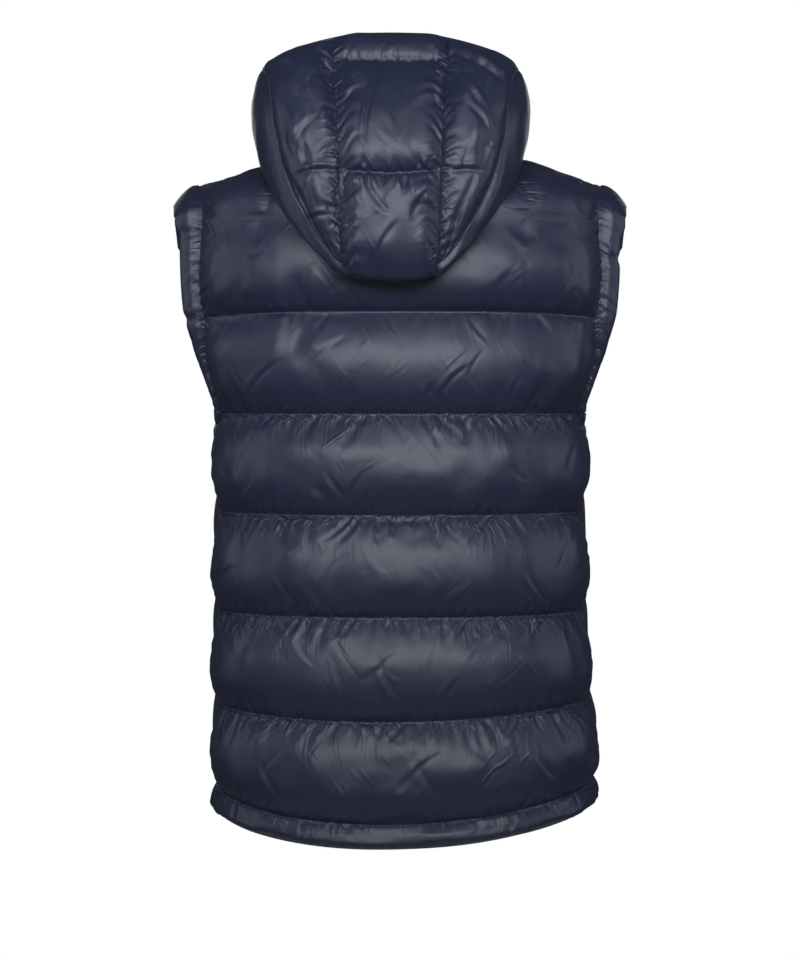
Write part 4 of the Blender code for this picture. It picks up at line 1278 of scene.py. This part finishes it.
def makeHoodUnder(spec, flip):
    sign = -1.0 if flip else 1.0
    angle = np.linspace(hoodCentreEdge, hoodFrontEdge, spec["columns"] + 1)
    top = np.interp(angle, goreAngle[::-1], gorePart[::-1])
    toFold = np.linspace(0, 1, spec["rows"][0] + 1)[:, None]
    toNape = np.linspace(0, 1, spec["rows"][1] + 1)[1:, None]
    fold = hoodSeams[-1]
    lower = np.repeat(fold + (1 - fold) * toNape, len(angle), axis=1)
    part = np.concatenate([top[None] + (fold - top)[None] * toFold, lower])
    full = np.concatenate([np.interp(toFold, [0, 0.35, 0.7, 1], [0, 0.76, 1.0, 0.88]),
                           np.interp(toNape, [0, 0.12, 0.3, 0.5], [0.88, 0.52, 0.16, 0.0])])
    angle = np.repeat(angle[None], len(part), axis=0)
    points = hood(sign * angle, part)
    normals = hoodOut(sign * angle, part)
    ends = ease(angle - hoodCentreEdge, 10.0) * ease(hoodFrontEdge - angle, 12.0)
    puff = spec["puff"] * full * ends * (0.25 + 0.75 * ease(angle - hoodCentreEdge, 45.0))
    held = heldEdges(puff.shape, [0, -1])
    held[spec["rows"][0] + spec["rows"][1] // 3:] = 1.0

    def marks(fine, times):
        return np.zeros(fine.shape[:2])

    own = {**spec, "name": sided("hood_under_shell", flip),
           "plainRows": list(range(len(puff))), "plainCols": list(range(puff.shape[1]))}
    step = -1 if flip else 1
    inside = hoodInside(points, normals)
    inside[:, -1] = points[:, -1]
    inside = inside[:, ::step]
    quilted(own, [sided("hood_under", flip)], points[:, ::step], normals[:, ::step], puff[:, ::step],
            held[:, ::step], np.full(puff.shape, 0.6), inside[::2, ::2], marks)


makeHoodCentre(hoodCentre)
makeHoodSide(hoodSide, False)
makeHoodSide(hoodSide, True)
makeHoodUnder(hoodUnder, False)
makeHoodUnder(hoodUnder, True)
print("hood made")

# Zip
zipSpec = {
    "tapeWide": 6.4, "tuck": 3.6, "tapeEnd": 1.6, "pitch": 2.6, "tooth": (1.2, 1.4, 2.9), "toothDeep": 0.2,
    "toothOff": 1.15, "sliderZ": (11.5, 28.5), "collarTop": 0.97,
}


def zipPath(spec):
    share = np.linspace(spec["collarTop"], 0.10, 40)
    collar = np.repeat(neck(180.0)[None], len(share), axis=0)
    collar[:, 1] += collarLean(share)
    collar[:, 2] += collarSpec["low"] + collarSpec["frontTall"] * share
    heights = np.linspace(frontSeams[0], frontSeams[-1] - hemTall + 1.0, 200)
    middle, level = body(np.full(len(heights), 180.0), heights)
    turns = np.linspace(90.0, 0.0, 24)[1:-1]
    crest, _ = overShoulder(middle[:1], level[:1], neck(np.array([180.0])), turns, np.array([0.0]))
    path = np.concatenate([collar, crest[:, 0], middle])
    path[:, 0] = 0.0
    run = np.gradient(path, axis=0)
    facing = unit(np.stack([np.zeros(len(path)), run[:, 2], -run[:, 1]], -1))
    return path, facing


def makeZip(spec, name, node, way):
    path, facing = zipPath(spec)
    far = spec["tapeWide"] + spec["tuck"]
    ring = np.array([0.25, 2.0, 4.0, spec["tapeWide"], far, far, 4.0, 2.0, 0.25, 0.25])
    deep = np.array([0.8, 0.8, 0.8, 0.9, 1.4, 2.4, 2.4, 2.4, 2.4, 0.8])
    points = path[:, None] - facing[:, None] * deep[None, :, None]
    points[..., 0] += way * ring[None]
    ends = path[:, None] - facing[:, None] * np.full(len(ring), spec["tapeEnd"])[None, :, None]
    ends[..., 0] += way * ring[None]
    points = leaned(np.concatenate([ends[:1], points, ends[-1:]]))
    thing, _ = sheet(name, points if way < 0 else points[:, ::-1])
    weld(thing)
    thing.data.materials.append(tapeFinish)
    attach(thing, "gilet")
    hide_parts(node)
    first = spec["pitch"] * (0.5 if way > 0 else 1.0)
    middle, ways = spaced(path - facing * spec["toothDeep"], facing, spec["pitch"], first)
    clear = (middle[:, 2] < spec["sliderZ"][0]) | (middle[:, 2] > spec["sliderZ"][1])
    middle = middle[clear]
    middle[:, 0] += way * spec["toothOff"]
    teeth = manyBlocks(name + "_teeth", leaned(middle), ways[clear], spec["tooth"], resinFinish)


makeZip(zipSpec, "tape_left", "zip_tape_left", 1.0)
makeZip(zipSpec, "tape_right", "zip_tape_right", -1.0)
for name in ("zip_slider", "zip_pull"):
    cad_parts[name].material_slots[0].material = metalFinish
addStitches("stitches", stitchLines, stitching)
print("zip and stitches made")

# Stage, light and camera
# Pale matt floor, well below the hem: it only gives a little light from underneath.
stage = {
    "half": 0.8, "low": -1.35, "name": "pale_floor", "colour": "#f2f2f2", "roughness": 0.8, "ambient": 0.04,
}
lampColour = (0.96, 0.97, 1.04)
lampMiddle = (0.0, 0.0, -0.3)
keyPanel = {
    "name": "key_panel", "target": (0.0, 0.0, 0.02), "size": (0.93, 0.7), "power": 1.5, "spread": 48.0,
}
lamps = [
    {"name": "key", "place": (0.0, 2.5, 0.60), "target": lampMiddle, "size": (2.8, 0.7), "power": 18.0},
    {**keyPanel, "place": (-0.95, 2.5, 0.60)},
    {**keyPanel, "place": (0.0, 2.5, 0.60)},
    {**keyPanel, "place": (0.95, 2.5, 0.60)},
    {"name": "fill_right", "place": (-2.0, 0.5, 0.1), "target": lampMiddle, "size": (1.0, 1.6), "power": 8.5},
    {"name": "fill_left", "place": (2.0, 0.5, 0.1), "target": lampMiddle, "size": (1.0, 1.6), "power": 8.0},
    {"name": "fill_low", "place": (0.0, 2.2, -1.0), "target": (0.0, 0.0, -0.4), "size": (2.0, 0.5),
     "power": 1.5},
    {"name": "fill_hem", "place": (0.0, 2.4, -0.2), "target": (0.0, 0.0, -0.72), "size": (1.8, 0.4),
     "power": 0.22, "spread": 30.0},
    {"name": "hood_top", "place": (0.0, 1.2, 1.5), "target": (0.0, 0.12, 0.08), "size": (0.6, 0.4),
     "power": 0.08, "spread": 20.0},
    {"name": "front_fill", "place": (0.0, -2.4, 0.2), "target": (0.0, 0.0, -0.35), "size": (2.0, 0.8),
     "power": 12.0},
]
camera = {"distance": 2.3, "eye": -0.245, "lens": 86.25, "tilt": 1.74}


def makeStage(spec):
    scene = bpy.context.scene
    scene.view_settings.view_transform = "Standard"
    work = bmesh.new()
    bmesh.ops.create_grid(work, x_segments=1, y_segments=1, size=spec["half"])
    mesh = bpy.data.meshes.new("floor")
    work.to_mesh(mesh)
    work.free()
    floor = bpy.data.objects.new("floor", mesh)
    scene.collection.objects.link(floor)
    for vert in mesh.vertices:
        vert.co.z = spec["low"]
    finish, _, _ = startFinish(spec)
    mesh.materials.append(finish)
    world = bpy.data.worlds.new("studio")
    world.use_nodes = True
    scene.world = world
    tree = world.node_tree
    soft = tree.nodes["Background"]
    soft.inputs["Color"].default_value = (1.0, 1.0, 1.0, 1.0)
    soft.inputs["Strength"].default_value = spec["ambient"]
    white = addNode(tree, "ShaderNodeBackground", {"Color": (1.0, 1.0, 1.0, 1.0), "Strength": 1.0})
    path = addNode(tree, "ShaderNodeLightPath")
    mix = addNode(tree, "ShaderNodeMixShader")
    tree.links.new(path.outputs["Is Camera Ray"], mix.inputs["Fac"])
    tree.links.new(soft.outputs["Background"], mix.inputs[1])
    tree.links.new(white.outputs["Background"], mix.inputs[2])
    tree.links.new(mix.outputs["Shader"], tree.nodes["World Output"].inputs["Surface"])


def addLight(spec):
    lamp = bpy.data.lights.new(spec["name"], "AREA")
    lamp.shape = "RECTANGLE"
    lamp.size, lamp.size_y = spec["size"]
    lamp.energy = spec["power"]
    lamp.color = lampColour
    lamp.spread = math.radians(spec.get("spread", 180.0))
    thing = bpy.data.objects.new(spec["name"], lamp)
    bpy.context.scene.collection.objects.link(thing)
    thing.location = spec["place"]
    aim = Vector(spec["target"]) - Vector(spec["place"])
    thing.rotation_euler = aim.to_track_quat("-Z", "Y").to_euler()


def makeCamera(spec):
    lens = bpy.data.cameras.new("photo_view")
    lens.lens = spec["lens"]
    lens.sensor_width = 36.0
    lens.clip_start = 0.05
    thing = bpy.data.objects.new("photo_view", lens)
    bpy.context.scene.collection.objects.link(thing)
    thing.location = (0.0, spec["distance"], spec["eye"])
    thing.rotation_euler = (math.radians(90 - spec["tilt"]), 0.0, math.radians(180))
    bpy.context.scene.camera = thing


makeStage(stage)
for lamp in lamps:
    addLight(lamp)
makeCamera(camera)
print("stage made")
